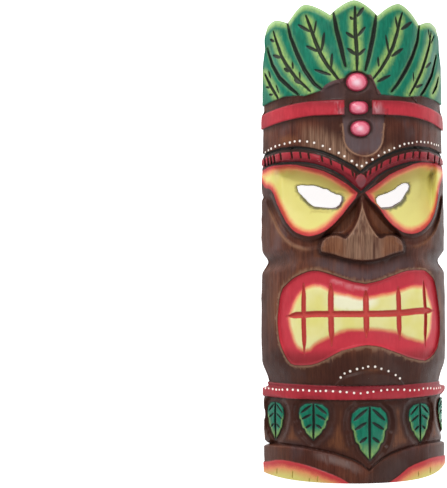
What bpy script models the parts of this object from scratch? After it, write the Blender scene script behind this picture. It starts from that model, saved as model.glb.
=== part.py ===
"""A carved and painted wooden tiki mask, made from half a log and hollowed behind.

It lies on its back: +Z is up out of the face, +Y runs to the leaf crown and +X
to the right. The origin is the middle of the flat back.

The carving is laid out on a plan of the unrolled log, in plan millimetres, as
a carver pencils it on the blank. s runs round the log from its middle line and
y runs up it. Both are shares of the blank: the plan is PLAN_LENGTH long and
PLAN_HALF wide to each side, whatever the blank's real size is. The carver
stands at one place and cuts every line straight in from there, so a point that
lies above or below the log's surface moves along the line of sight. Hand
carving isn't even, so most outlines are given for both sides.
"""
import math

import bmesh
import bpy
import numpy as np

# The blank, in metres
LENGTH = 0.500
LOG_RADIUS = 0.110
AXIS_DEPTH = 0.0465
EDGE_HEIGHT = 0.003

# Where the carver's eye is while the lines are cut, in metres
SIGHT_SIDE = -0.236
SIGHT_ALONG = -0.002
SIGHT_HEIGHT = 1.488

# The hollow behind, and the eye holes into it
WALL = 0.018
TOP_BLOCK = 0.048
BOTTOM_BLOCK = 0.044
HOLLOW_CORNER = 0.024
HOLE_SLOPE = 0.0025

# Depths and heights of the carving, in metres
LEAF_RISE = 0.0022
SEPARATOR_CUT = 0.0030
MIDRIB_CUT = 0.0022
TIP_ROUNDING = 0.0030
BAND_RISE = 0.0022
BEAD_RISE = 0.0048
BEAD_SEAT = 0.0016
BEAD_PANEL_CUT = 0.0012
BROW_LINE_CUT = 0.0026
BROW_STRIP_CUT = 0.0008
BLOCK_RISE = 0.0014
EYE_DEPTH = 0.0130
EYE_RIM_RISE = 0.0014
CHEEK_CHANNEL = 0.0030
NOSE_RISE = 0.0085
NOSE_HOLLOW = 0.0085
UPPER_NOTCH = 0.0065
LOWER_NOTCH = 0.0060
MOUTH_CUT = 0.0028
TEETH_RISE = 0.0022
TOOTH_CUT = 0.0028
CHIN_RISE = 0.0022
LOWER_BAND_RISE = 0.0026
PANEL_CUT = 0.0032
BASE_LEAF_RISE = 0.0020
SWAG_RISE = 0.0016
SWAG_NICK = 0.0035
FOOT_RISE = 0.0012

# The plan of the unrolled log, in plan millimetres
PLAN_LENGTH = 500.0
PLAN_HALF = 121.5
CENTRE_LEAN = -0.027
GRID_STEP = 1.5
FRONT_TRIANGLES = 7500
LEFT_END_RISE = 4.0
RIGHT_END_RISE = 10.0

# Widths of the cuts, and how far an edge is rounded over, in plan millimetres
SEPARATOR_WIDTH = 5.0
MIDRIB_WIDTH = 3.6
BROW_LINE_WIDTH = 4.4
SWAG_LINE_WIDTH = 4.0
BITE_WIDTH = 6.8
SOFT_EDGE = 1.2
TIP_REACH = 8.0
PANEL_REACH = 9.0
HUMP = 1.6

# How much the blank is trimmed at each height: y, trim
TRIM = (
    (-250, -3.0), (-236, -2.6), (-214, -2.0), (-200, -0.8), (-169, -0.8), (-163, -2.2), (-152, -2.2), (-147, 0.0),
    (-130, 0.6), (-110, 1.2), (-60, 1.0), (-35, 0.2), (-10, 0.0), (5, 0.6), (30, 0.2), (70, -0.3), (100, -1.7),
    (127, -2.2), (150, -3.6), (185, -4.0), (202, -6.0), (250, -6.5),
)

# Leaf crown: its edge from notch to tip to notch, the grooves between the
# leaves, the middle rib of each leaf, and the line where the leaves end
CROWN_EDGE = (
    (-126, 214), (-97, 233.5), (-79.5, 228.6), (-59.5, 246.4), (-32.2, 234), (-7.3, 248.6), (17.3, 232.8),
    (41.3, 246.4), (69, 226.2), (87, 231), (120, 214),
)
SEPARATORS = (
    ((-28.4, 236), (-25.5, 218), (-20.4, 197.4), (-16.5, 180)),
    ((15.9, 233), (12.4, 211.4), (7.8, 190.6), (3.8, 176)),
    ((-80.2, 229), (-76.3, 213.8), (-69, 196.5), (-60, 178.4), (-49.8, 164), (-40, 156)),
    ((69.4, 225), (66.7, 209), (59.2, 192.5), (49.8, 177.2), (39, 162), (32.6, 154.5)),
    ((-109.2, 204.6), (-101.8, 187), (-91, 172.3), (-78, 161.6), (-67.3, 153.2)),
    ((101, 196.5), (90.9, 175.6), (77.3, 158.6), (70.7, 152.3)),
)
MIDRIBS = (
    ((-6.4, 242), (-5.9, 213), (-4.7, 192.4), (-4.8, 176)),
    ((-58.4, 235), (-47.8, 206.5), (-34.6, 181.3), (-20.5, 162.3)),
    ((46.2, 237.4), (39.4, 215.6), (28.4, 189.6), (12.2, 167.6)),
    ((-99.9, 222.5), (-88.5, 195.6), (-70.7, 171.5), (-53.7, 155.8)),
    ((90, 221.5), (79.8, 191.7), (66.6, 169.2), (54.8, 152.2)),
    ((-114.5, 178.8), (-104.3, 165.2), (-93.3, 150.7)),
    ((107, 175), (101.4, 165), (92.5, 156)),
)
LEAF_END = (
    (-126, 143), (-113, 146), (-100, 149), (-85, 152.2), (-68, 152.5), (-60, 151.5), (-48.6, 154.6), (-40, 157),
    (-29, 162), (-21, 164), (0, 168), (10, 168), (14, 160), (17, 151.5), (50, 150), (60, 151), (72, 152.5),
    (95, 149.5), (113, 146), (126, 143),
)

# Upper band, which is level in the middle and falls away towards the sides, its
# opening, and the three beads: middle, height, half width, half height,
# squareness, seat; then the sunk panel: middle, height, radius
BAND_MIDDLE = 138.2
BAND_HALF = 7.6
BAND_OPENING = (-18.0, 10.8)
BAND_LEVEL = 46.0
BAND_FALL = 5.6
BAND_FALL_POWER = 1.5
BEADS = (
    (-5.0, 164.3, 11.0, 9.4, 2.0, -0.0030),
    (-3.2, 137.8, 9.8, 6.8, 2.8, -0.0024),
    (-1.5, 116.2, 10.2, 8.1, 2.2, -0.0030),
)
BEAD_PANEL = (2.0, 108.7, 20.8)

# Brow: the upper and lower cut lines of its strip, from the middle outwards,
# and how far inside them the row of blocks lies
BROW_UPPER = (
    (0, 71), (7.6, 77.3), (17.6, 83.2), (27.6, 88.5), (37.6, 92.4), (47.6, 95.2), (57.6, 97), (67.6, 98),
    (87.6, 97.4), (107.6, 93.8), (126, 90),
)
BROW_LOWER = (
    (0, 51), (10, 59.8), (18, 67), (28, 73), (38, 77), (48, 80.2), (58, 82.2), (68, 83), (98, 82.7), (126, 79),
)
BLOCK_TOP = 4.2
BLOCK_FOOT = 2.8
BLOCK_START = 10.0
DIAMOND = (-1.2, 62.3, 6.6, 8.4)

# Eyes: the dish's upper edge, its lower one, where its floor runs out at the
# side, and the hole in it
LEFT_EYE_TOP = (
    (-5, 50), (-14, 57.7), (-20, 61.7), (-30, 67.7), (-40, 72.7), (-50, 75.5), (-60, 77.6), (-70, 80), (-80, 80.7),
    (-100, 80.2), (-109.5, 79), (-130, 73),
)
LEFT_EYE_LOW = (
    (-130, 58), (-115, 57.1), (-109.5, 56.8), (-105, 54.6), (-101, 50.2), (-96.5, 40.9), (-90.2, 30.8),
    (-83.5, 20.4), (-76, 12.6), (-70.9, 9.3), (-65.4, 7.2), (-60, 5.8), (-55.5, 5.4), (-50.3, 6.3), (-45.3, 7.6),
    (-40.2, 10), (-35.3, 13), (-30.4, 16.8), (-25.6, 21.7), (-20, 27.8), (-14.6, 35.4), (-7, 45), (-5, 50),
)
RIGHT_EYE_TOP = (
    (3, 50.4), (10, 54.9), (20, 61.5), (30, 68.6), (40, 73.4), (50, 76.9), (60, 80.3), (70, 82.3), (80, 82.8),
    (100, 82.2), (115, 79.5), (130, 77),
)
RIGHT_EYE_LOW = (
    (130, 61), (111, 60.4), (107.5, 54.6), (102.5, 43), (99.6, 37.5), (95, 29), (89, 22), (82.5, 17), (76.8, 13.4),
    (70.4, 10.2), (63.3, 8.1), (56.7, 7.3), (50, 8), (44.5, 9.4), (39.5, 12.2), (33.9, 16), (29.2, 20.1),
    (24.8, 24.9), (18.3, 33.9), (14.9, 37.6), (10, 41.4), (3, 50.4),
)
EYE_SIDE = 105.0
EYE_SIDE_REACH = 18.0
LEFT_HOLE = (
    (-69.6, 57.8), (-64, 58.9), (-58.7, 58.2), (-50, 58), (-44.9, 56.5), (-39.9, 54.3), (-35.8, 53.9), (-31.6, 51),
    (-26, 48.6), (-22, 48.1), (-19.8, 46.4), (-19.8, 42), (-22, 38), (-25.5, 35.4), (-30, 34.6), (-49.5, 35.4),
    (-54.8, 38.6), (-59.7, 43.4), (-64, 47.5), (-68, 51.3),
)
RIGHT_HOLE = (
    (14.5, 44.6), (17, 47), (20, 48), (26, 49.4), (30.5, 51.2), (35.2, 53.2), (39.2, 56.4), (44.2, 59.2),
    (48.8, 60.4), (52.9, 59.7), (54.6, 56.9), (53.5, 53), (49, 47.6), (46.3, 43), (43.7, 40), (39.6, 38),
    (34.5, 35.4), (31.4, 34.8), (22, 34.8), (18.8, 37.4), (15.4, 40.6),
)

# Nose with its wings, from its middle line outwards, and the dark hollow on
# each side of the bridge
NOSE_MIDDLE = 0.9
NOSE = (
    (0, 43), (1.2, 34), (2.9, 28.4), (4.7, 22.9), (7.8, 16), (11.2, 10.5), (15, 5.2), (18, 3.2), (20.5, 3.8),
    (23.5, 5.6), (27.5, 6.8), (33, 6.2), (38, 4.2), (42, 1.2), (44.3, -2.5), (45.2, -7.5), (44.6, -11), (37, -12.6),
    (29.5, -14.6), (21.5, -17.3), (12.5, -19.2), (6, -20.1), (0, -20.3),
)
NOSE_SIDE = ((1, 48), (9, 41), (18, 31), (28, 20), (38, 11), (43, 4), (36, 2), (18, 4), (8, 14), (3, 26), (1, 48))

# Mouth: its outline, the teeth, the line of the bite and the cuts between the
# teeth: upper end, middle, lower end, width
MOUTH = (
    (3, -44.5), (13, -42.5), (20, -40.8), (27.5, -38.2), (35.3, -35.6), (43.4, -32.9), (50, -31.3), (60, -30.4),
    (70, -30.6), (76.4, -31.4), (82, -34.3), (88.5, -38), (92.6, -41.6), (95.5, -46.7), (97.8, -52.4), (100, -58.8),
    (102.5, -66), (105, -74.6), (106.5, -83.2), (107, -91.7), (106, -100.2), (103, -107.3), (99, -114.1),
    (91.5, -120), (83.5, -123.7), (75.5, -126), (68, -125.2), (60, -123.4), (51, -120.9), (44, -118.1),
    (30.7, -113.5), (19.6, -109.7), (12.4, -108.2), (4, -107.3), (-2, -107.8), (-10, -109.4), (-22.3, -112.8),
    (-29.3, -116.6), (-39.8, -122.3), (-47, -125.6), (-54.3, -127.8), (-65.8, -128.9), (-74, -128.9),
    (-78.8, -127.3), (-83, -123.4), (-87, -118), (-90.5, -111.8), (-93.2, -104.9), (-94.5, -98), (-96, -87),
    (-96, -80), (-94.8, -69.7), (-93.7, -62.7), (-91.7, -55.7), (-88.3, -48.6), (-83, -44.3), (-78.5, -40.8),
    (-73.2, -37.3), (-65, -33.7), (-57.5, -31.3), (-52.2, -30.6), (-45.8, -30.9), (-40, -32.3), (-30, -35.4),
    (-20.4, -38.8), (-9.5, -42.3),
)
TEETH = (
    (-8.3, -54.7), (3, -56), (13, -54.1), (20.6, -52.9), (29.6, -51.3), (37.5, -49.8), (47.4, -46.7), (52.6, -45.1),
    (59.6, -44.2), (70.5, -44.8), (75.4, -45), (80.5, -49.7), (84, -56.9), (87.5, -63.3), (91.5, -70.5),
    (91.5, -76), (88.5, -92.3), (87, -97.9), (83, -103.3), (78.5, -107.2), (73.2, -110.4), (60.2, -107.7),
    (51, -104.6), (44.4, -102.1), (37.2, -98.5), (31, -97), (23.4, -95.7), (14.8, -94.8), (-15.4, -94.8),
    (-22.3, -96.6), (-29.3, -100.1), (-40, -104.4), (-47, -108.4), (-54.5, -115.1), (-62.5, -117), (-67.5, -115.8),
    (-72.5, -112.4), (-76, -107.7), (-79, -101.5), (-82.8, -87), (-84.5, -80.8), (-82.5, -75.8), (-77.5, -63.8),
    (-73, -56.1), (-69.3, -51.1), (-65.2, -48), (-59.8, -44.8), (-53.7, -42.8), (-50, -42.4), (-43, -43),
    (-36.6, -45.7), (-29, -49.9), (-22, -51.3), (-15, -52.3),
)
BITE = (
    (-84, -78.5), (-70, -76.5), (-50, -75.4), (-20, -74.8), (0, -75.1), (20, -75.2), (40, -75), (60, -73.8),
    (80, -73.5), (92, -74),
)
TOOTH_GAPS = (
    ((-62.8, -44), (-62.6, -75), (-62.5, -118), 5.5),
    ((-33.3, -44), (-33.0, -75), (-32.6, -108), 6.2),
    ((3.2, -51.5), (3.3, -75), (3.4, -99.5), 6.3),
    ((39, -48), (39.6, -75), (40.3, -102.5), 6.0),
    ((73.5, -42.5), (77, -80), (75.5, -111.5), 5.5),
)

# Chin mound, lower band, base leaves (middle, top, tip, half width), swag, feet
CHIN = (8.0, -151.0, 38.0, 18.0)
LOWER_BAND_MIDDLE = -156.7
LOWER_BAND_HALF = 7.2
BASE_LEAVES = (
    (-100.5, -169.5, -209, 12.5),
    (-52.5, -168.0, -206, 16.5),
    (6.3, -170.5, -226, 19.5),
    (67, -170.5, -211, 15.5),
    (114, -167, -207, 13),
)
LEAF_LOBES = (
    (0.0, 0.0), (0.55, 0.04), (0.92, 0.16), (1.0, 0.30), (0.92, 0.46), (0.70, 0.48), (0.66, 0.58), (0.62, 0.70),
    (0.42, 0.71), (0.34, 0.80), (0.0, 1.0),
)
SWAG = (
    (-130, -216), (-116, -214.5), (-101, -213.2), (-83, -212.8), (-66, -213.2), (-51, -215), (-40.6, -216.8),
    (-30, -219), (-21, -221.8), (-11, -225.4), (-2.4, -229.8), (5.8, -236), (12, -230), (19.5, -224.5), (29, -220),
    (40, -216.6), (50, -214.5), (59, -213.3), (70, -212.6), (80, -212.4), (100, -213), (130, -214.5),
)
FEET = (
    (-130, -237), (-114.5, -234.2), (-100.5, -230.7), (-89, -229.6), (-80, -230.1), (-70.2, -231.4), (-60, -233),
    (-50, -235.5), (-40, -238.5), (-29.9, -241.9), (-23, -244.9), (-12, -252), (0, -262), (24, -252),
    (33.6, -246.7), (40, -242.9), (46, -239.2), (50.2, -236.4), (59.2, -233.5), (69, -231.7), (79.8, -230.4),
    (90, -229.8), (100.4, -229.7), (130, -232),
)

WOOD_COLOUR = (0.115, 0.052, 0.028, 1.0)
WOOD_ROUGHNESS = 0.42


def ramp(value, start, end):
    """0 up to start, 1 from end on, with a smooth step between."""
    share = np.clip((value - start) / (end - start), 0.0, 1.0)
    return share * share * (3.0 - 2.0 * share)


def smooth_line(points, per_span=6):
    """A smooth line through the given points."""
    pts = np.array(points, float)
    before = np.vstack([2 * pts[:1] - pts[1:2], pts[:-1]])
    after = np.vstack([pts[1:], 2 * pts[-1:] - pts[-2:-1]])
    pull = 0.5 * (after - before)
    t = np.linspace(0.0, 1.0, per_span, endpoint=False)[None, :, None]
    p0, p1 = pts[:-1, None], pts[1:, None]
    m0, m1 = pull[:-1, None], pull[1:, None]
    line = ((2 * t**3 - 3 * t**2 + 1) * p0 + (t**3 - 2 * t**2 + t) * m0
            + (-2 * t**3 + 3 * t**2) * p1 + (t**3 - t**2) * m1)
    return np.vstack([line.reshape(-1, 2), pts[-1:]])


def near(s, y, line, reach):
    """Distance to a line, or reach where it is farther away than that."""
    line = np.array(line, float)
    out = np.full(s.shape, float(reach))
    low, high = line.min(axis=0) - reach, line.max(axis=0) + reach
    pick = (s > low[0]) & (s < high[0]) & (y > low[1]) & (y < high[1])
    if not pick.any():
        return out
    point = np.stack([s[pick], y[pick]], axis=1)
    best = np.full(len(point), float(reach) ** 2)
    for start, end in zip(line[:-1], line[1:]):
        run = end - start
        share = np.clip(((point - start) @ run) / max(run @ run, 1e-12), 0.0, 1.0)
        gap = point - start - share[:, None] * run
        best = np.minimum(best, (gap**2).sum(axis=1))
    out[pick] = np.sqrt(best)
    return out


def inset(s, y, outline, reach):
    """Distance in from a closed outline, negative outside, up to reach each way."""
    ring = np.array(tuple(outline) + tuple(outline[:1]), float)
    inside = np.zeros(s.shape, bool)
    for (s0, y0), (s1, y1) in zip(ring[:-1], ring[1:]):
        if y0 == y1:
            continue
        crosses = (y0 > y) != (y1 > y)
        inside ^= crosses & (s < (s1 - s0) * (y - y0) / (y1 - y0) + s0)
    gap = near(s, y, ring, reach)
    return np.where(inside, gap, -gap)


def level_at(s, line):
    """Height of a line that runs across the plan, at each s."""
    line = np.array(line, float)
    return np.interp(s, line[:, 0], line[:, 1])


def cut(distance, width, depth):
    """A cut with sloping sides along a line."""
    return -depth * ramp(width / 2.0 - distance, 0.0, width / 2.0)


def leaf_outline(middle, top, tip, half_width):
    """A hanging leaf with two lobes on each side and a pointed tip."""
    right = [(middle + across * half_width, top + down * (tip - top)) for across, down in LEAF_LOBES]
    left = [(2.0 * middle - s, y) for s, y in right[-2:0:-1]]
    return right + left


def top_edge(s):
    """Height of the crown's scalloped edge above the plan's middle."""
    edge = np.full(s.shape, float(CROWN_EDGE[0][1]))
    for start, end in zip(CROWN_EDGE[:-1], CROWN_EDGE[1:]):
        tip, notch = (end, start) if end[1] > start[1] else (start, end)
        share = np.clip((s - tip[0]) / (notch[0] - tip[0]), 0.0, 1.0)
        hump = notch[1] + (tip[1] - notch[1]) * (1.0 - share**HUMP)
        edge = np.where((s >= start[0]) & (s <= end[0]), hump, edge)
    return edge


def bottom_edge(s):
    """Height of the foot's edge, which rises a little at the sides."""
    rise = np.where(s < 0.0, LEFT_END_RISE, RIGHT_END_RISE)
    return -PLAN_LENGTH / 2.0 + rise * (np.abs(s) / PLAN_HALF) ** 4


def crown(s, y):
    """Leaf crown: leaves standing over a dark strip, with grooves and ribs."""
    leaf = ramp(y - level_at(s, LEAF_END), -SOFT_EDGE, SOFT_EDGE)
    h = LEAF_RISE * leaf
    for points in SEPARATORS:
        h += leaf * cut(near(s, y, points, SEPARATOR_WIDTH), SEPARATOR_WIDTH, SEPARATOR_CUT)
    for points in MIDRIBS:
        h += leaf * cut(near(s, y, points, MIDRIB_WIDTH), MIDRIB_WIDTH, MIDRIB_CUT)
    return h - TIP_ROUNDING * (1.0 - ramp(top_edge(s) - y, -1.0, TIP_REACH))


def bands(s, a, y):
    """The upper band, open in the middle, and the sunk panel below the opening."""
    fall = BAND_FALL * (np.clip(a - BAND_LEVEL, 0.0, None) / BAND_LEVEL) ** BAND_FALL_POWER
    left, right = BAND_OPENING
    band = ramp(BAND_HALF - np.abs(y - BAND_MIDDLE + fall), -SOFT_EDGE, SOFT_EDGE)
    band *= ramp(np.maximum(left - s, s - right), -SOFT_EDGE, SOFT_EDGE)
    panel_s, panel_y, panel_r = BEAD_PANEL
    reach = np.hypot(s - panel_s, np.minimum(y - panel_y, 0.0))
    panel = ramp(panel_r - reach, -SOFT_EDGE, SOFT_EDGE) * (y < BAND_MIDDLE) * (y > panel_y - panel_r - SOFT_EDGE)
    return BAND_RISE * band - BEAD_PANEL_CUT * panel * (1.0 - band)


def beads(s, y, h):
    """The surface with three beads set in a row, each in a shallow seat."""
    for middle, height, half_s, half_y, power, level in BEADS:
        q = (np.abs((s - middle) / half_s) ** power + np.abs((y - height) / half_y) ** power) ** (1.0 / power)
        seat = ramp(q, 1.05, 1.40)
        h = h * seat + (level - BEAD_SEAT) * (1.0 - seat)
        h += BEAD_RISE * np.sqrt(np.clip(1.0 - q**2, 0.0, 1.0))
    return h


def brow(s, a, y):
    """The winged brow: a strip between two cut lines, with a row of blocks."""
    up_gap = level_at(a, BROW_UPPER) - y
    low_gap = y - level_at(a, BROW_LOWER)
    h = -BROW_STRIP_CUT * ramp(np.minimum(up_gap, low_gap), 0.0, SOFT_EDGE)
    row = ramp(np.minimum(up_gap - BLOCK_TOP, low_gap - BLOCK_FOOT), -SOFT_EDGE, SOFT_EDGE)
    h += BLOCK_RISE * row * ramp(a - BLOCK_START, -SOFT_EDGE, SOFT_EDGE)
    middle, height, half_s, half_y = DIAMOND
    across = np.abs(s - middle) / half_s + np.abs(y - height) / half_y
    h += BLOCK_RISE * ramp(1.0 - across, -0.1, 0.2)
    for line in (BROW_UPPER, BROW_LOWER):
        h += cut(near(a, y, line, BROW_LINE_WIDTH), BROW_LINE_WIDTH, BROW_LINE_CUT)
    return h


def eye(s, y, top, low):
    """An eye dish: steep under the brow, shallow below, with a raised rim."""
    inside = inset(s, y, top + low[1:-1], 18.0)
    slope = np.minimum(0.78 * near(s, y, top, 60.0), 0.40 * near(s, y, low, 80.0) + 0.6)
    deep = EYE_DEPTH * (1.0 - np.exp(-1.5 * slope / 13.0)) / (1.0 - math.exp(-1.5))
    deep *= ramp(EYE_SIDE - np.abs(s), 0.0, EYE_SIDE_REACH)
    h = np.where(inside > 0.0, -deep * ramp(inside, 0.0, 2.5), 0.0)
    h = np.maximum(h, -EYE_DEPTH)
    h += EYE_RIM_RISE * ramp(6.0 - np.abs(inside), 0.0, 6.0) * (y < 60.0) * (np.abs(s) < EYE_SIDE)
    channel = ramp(-inside, 3.0, 7.0) * ramp(15.0 + inside, 0.0, 5.0) * ramp(np.abs(s), 30.0, 44.0)
    return h - CHEEK_CHANNEL * channel * ramp(54.0 - y, 0.0, 12.0)


def nose(a, y):
    """The long nose with its wings, and the hollows beside its bridge."""
    outline = NOSE + tuple((-s, v) for s, v in NOSE[-2:0:-1])
    inside = inset(a, y, outline, 12.0)
    low = NOSE_RISE * (0.25 + 0.75 * ramp(46.0 - y, 0.0, 48.0))
    body = ramp(inside, -1.6, 1.2)
    hollow = ramp(inset(a, y, NOSE_SIDE[:-1], 14.0), -1.0, 6.0)
    return low * body - NOSE_HOLLOW * hollow * (1.0 - body)


def notches(a, y):
    """Waists at the sides, below the cheeks and above the lower band."""
    middle = -22.0 + 9.0 * (1.0 - ramp(a, 46.0, 112.0))
    upper = ramp(13.0 - np.abs(y - middle), 0.0, 13.0) * ramp(a, 38.0, 50.0)
    upper *= 0.25 + 0.75 * ramp(a, 50.0, 108.0)
    lower = ramp(y, LOWER_BAND_MIDDLE, LOWER_BAND_MIDDLE + 4.0) * ramp(-126.0 - y, 0.0, 22.0)
    lower *= 0.18 + 0.82 * ramp(a, 60.0, 112.0)
    return -UPPER_NOTCH * upper - LOWER_NOTCH * lower


def mouth(s, y):
    """The mouth: sunk lips round bared teeth, with cuts between the teeth."""
    h = -MOUTH_CUT * ramp(inset(s, y, MOUTH, 12.0), -0.8, 2.2)
    h += TEETH_RISE * ramp(inset(s, y, TEETH, 12.0), -1.0, 8.0)
    level = level_at(s, BITE)
    h += cut(near(s, y, BITE, BITE_WIDTH), BITE_WIDTH, TOOTH_CUT)
    for top, middle, low, gap in TOOTH_GAPS:
        h += cut(near(s, y, (top, middle, low), gap), gap, TOOTH_CUT) * ramp(np.abs(y - level), 0.5, 3.0)
    return h


def chin_and_band(s, y):
    """The chin mound and the lower band."""
    middle, foot, half_s, rise = CHIN
    arch = foot + rise * np.sqrt(np.clip(1.0 - ((s - middle) / half_s) ** 2, 0.0, 1.0))
    h = CHIN_RISE * ramp(arch - y, 0.0, 4.0) * (y > foot) * (np.abs(s - middle) < half_s)
    off = np.abs(y - LOWER_BAND_MIDDLE)
    return h * (off > LOWER_BAND_HALF) + LOWER_BAND_RISE * ramp(LOWER_BAND_HALF - off, -SOFT_EDGE, SOFT_EDGE)


def base(s, a, y):
    """Hanging leaves in sunk panels, and the swag and feet below them."""
    below = y < LOWER_BAND_MIDDLE
    h = np.zeros(s.shape)
    for leaf in BASE_LEAVES:
        gap = inset(s, y, leaf_outline(*leaf), 12.0)
        h -= PANEL_CUT * ramp(gap, -PANEL_REACH, -3.0)
        h += BASE_LEAF_RISE * ramp(gap, -SOFT_EDGE, SOFT_EDGE)
        spine = ((leaf[0], leaf[1] - 5.0), (leaf[0], leaf[2]))
        h += cut(near(s, y, spine, MIDRIB_WIDTH), MIDRIB_WIDTH, MIDRIB_CUT) * ramp(gap, -1.0, 1.0)
    under = level_at(s, SWAG) - y
    h = h * (1.0 - ramp(under, -2.0, 2.0)) + SWAG_RISE * ramp(under, 0.0, 3.0)
    h += cut(np.abs(under), SWAG_LINE_WIDTH, SWAG_RISE)
    h += cut(np.abs(under), 2.0 * SWAG_LINE_WIDTH, SWAG_NICK) * ramp(a, 88.0, 118.0)
    h += FOOT_RISE * ramp(level_at(s, FEET) - y, -SOFT_EDGE, SOFT_EDGE)
    return h * below


def relief(s, y):
    """Height of the carved surface over the log, in metres, at plan points."""
    middle = s - CENTRE_LEAN * y
    a = np.abs(middle)
    h = level_at(y, TRIM) * LENGTH / PLAN_LENGTH
    h += crown(s, y) + bands(s, a, y) + brow(s, a, y)
    h = beads(s, y, h)
    h += eye(s, y, LEFT_EYE_TOP, LEFT_EYE_LOW) + eye(s, y, RIGHT_EYE_TOP, RIGHT_EYE_LOW)
    h += nose(np.abs(middle - NOSE_MIDDLE), y) + notches(a, y)
    return h + mouth(s, y) + chin_and_band(s, y) + base(s, a, y)


def full_angle():
    """Angle round the log at which its untrimmed surface meets the edge height."""
    return math.acos((AXIS_DEPTH + EDGE_HEIGHT) / LOG_RADIUS)


def log_points(s, y, h):
    """Plan points and their heights as points in space, each along its line of sight."""
    angle = s * full_angle() / PLAN_HALF
    run_s = LOG_RADIUS * np.sin(angle) - SIGHT_SIDE
    run_y = y * LENGTH / PLAN_LENGTH - SIGHT_ALONG
    fall = LOG_RADIUS * np.cos(angle) - AXIS_DEPTH - SIGHT_HEIGHT
    over_axis = SIGHT_HEIGHT + AXIS_DEPTH
    square = run_s**2 + fall**2
    half = SIGHT_SIDE * run_s + over_axis * fall
    rest = SIGHT_SIDE**2 + over_axis**2 - (LOG_RADIUS + h) ** 2
    share = (-half - np.sqrt(np.clip(half**2 - square * rest, 0.0, None))) / square
    share = np.minimum(share, (EDGE_HEIGHT - SIGHT_HEIGHT) / fall)
    return np.stack([SIGHT_SIDE + share * run_s, SIGHT_ALONG + share * run_y, SIGHT_HEIGHT + share * fall], axis=1)


def side_reach(side, h):
    """Plan distance at which the surface h over the log meets the edge height, seen from the sight point."""
    x = side * np.sqrt((LOG_RADIUS + h) ** 2 - (AXIS_DEPTH + EDGE_HEIGHT) ** 2)
    run, fall = x - SIGHT_SIDE, EDGE_HEIGHT - SIGHT_HEIGHT
    over_axis = SIGHT_HEIGHT + AXIS_DEPTH
    square = run**2 + fall**2
    half = SIGHT_SIDE * run + over_axis * fall
    rest = SIGHT_SIDE**2 + over_axis**2 - LOG_RADIUS**2
    share = (-half - np.sqrt(np.clip(half**2 - square * rest, 0.0, None))) / square
    angle = np.arctan2(SIGHT_SIDE + share * run, over_axis + share * fall)
    return np.abs(angle) * PLAN_HALF / full_angle()


def collection(name):
    """A collection linked into the scene."""
    group = bpy.data.collections.new(name)
    bpy.context.scene.collection.children.link(group)
    return group


def new_object(name, bm, group):
    """An object made from a bmesh, which is freed."""
    mesh = bpy.data.meshes.new(name)
    bm.to_mesh(mesh)
    bm.free()
    obj = bpy.data.objects.new(name, mesh)
    group.objects.link(obj)
    return obj


def carved_front(group):
    """The carved front as an open sheet: a fine grid, thinned where it is plain."""
    columns = int(2 * PLAN_HALF / GRID_STEP)
    rows = int(PLAN_LENGTH / GRID_STEP)
    bm = bmesh.new()
    bmesh.ops.create_grid(bm, x_segments=columns, y_segments=rows, size=1.0)
    flat = np.array([v.co[:] for v in bm.verts])
    side = np.sign(flat[:, 0])
    rim = np.full(len(flat), PLAN_HALF)
    share = (flat[:, 1] + 1.0) / 2.0
    for _ in range(4):
        s = side * rim
        y = bottom_edge(s) + share * (top_edge(s) - bottom_edge(s))
        rim = 0.5 * (rim + side_reach(side, relief(s, y)))
    s = flat[:, 0] * rim
    y = bottom_edge(s) + share * (top_edge(s) - bottom_edge(s))
    for vert, place in zip(bm.verts, log_points(s, y, relief(s, y))):
        vert.co = place
    sheet = new_object("carved_front", bm, group)
    thin = sheet.modifiers.new("Thin", "DECIMATE")
    thin.ratio = min(1.0, FRONT_TRIANGLES / (2.0 * columns * rows))
    return sheet


def closed_blank(sheet, name, group):
    """The carved front closed by side walls down to a flat back."""
    graph = bpy.context.evaluated_depsgraph_get()
    mesh = bpy.data.meshes.new_from_object(sheet.evaluated_get(graph))
    bm = bmesh.new()
    bm.from_mesh(mesh)
    bpy.data.meshes.remove(mesh)
    bpy.data.objects.remove(sheet)
    rim = [edge for edge in bm.edges if edge.is_boundary]
    walls = bmesh.ops.extrude_edge_only(bm, edges=rim)["geom"]
    foot = [item for item in walls if isinstance(item, bmesh.types.BMVert)]
    for vert in foot:
        vert.co.z = 0.0
    loop = [edge for edge in bm.edges if edge.is_boundary]
    bmesh.ops.contextual_create(bm, geom=loop)
    bmesh.ops.recalc_face_normals(bm, faces=bm.faces[:])
    return new_object(name, bm, group)


def hollow_cutter(group):
    """The trough behind: a round bar along the log's axis, with rounded ends."""
    length = LENGTH - TOP_BLOCK - BOTTOM_BLOCK
    bpy.ops.mesh.primitive_cylinder_add(vertices=72, radius=LOG_RADIUS - WALL, depth=length, end_fill_type="NGON")
    cutter = bpy.context.active_object
    cutter.name = "hollow_cutter"
    cutter.rotation_euler = (math.pi / 2.0, 0.0, 0.0)
    cutter.location = (0.0, (BOTTOM_BLOCK - TOP_BLOCK) / 2.0, -AXIS_DEPTH)
    corner = cutter.modifiers.new("Corner", "BEVEL")
    corner.width = HOLLOW_CORNER
    corner.segments = 5
    corner.limit_method = "ANGLE"
    for owner in list(cutter.users_collection):
        owner.objects.unlink(cutter)
    group.objects.link(cutter)
    return cutter


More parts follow.
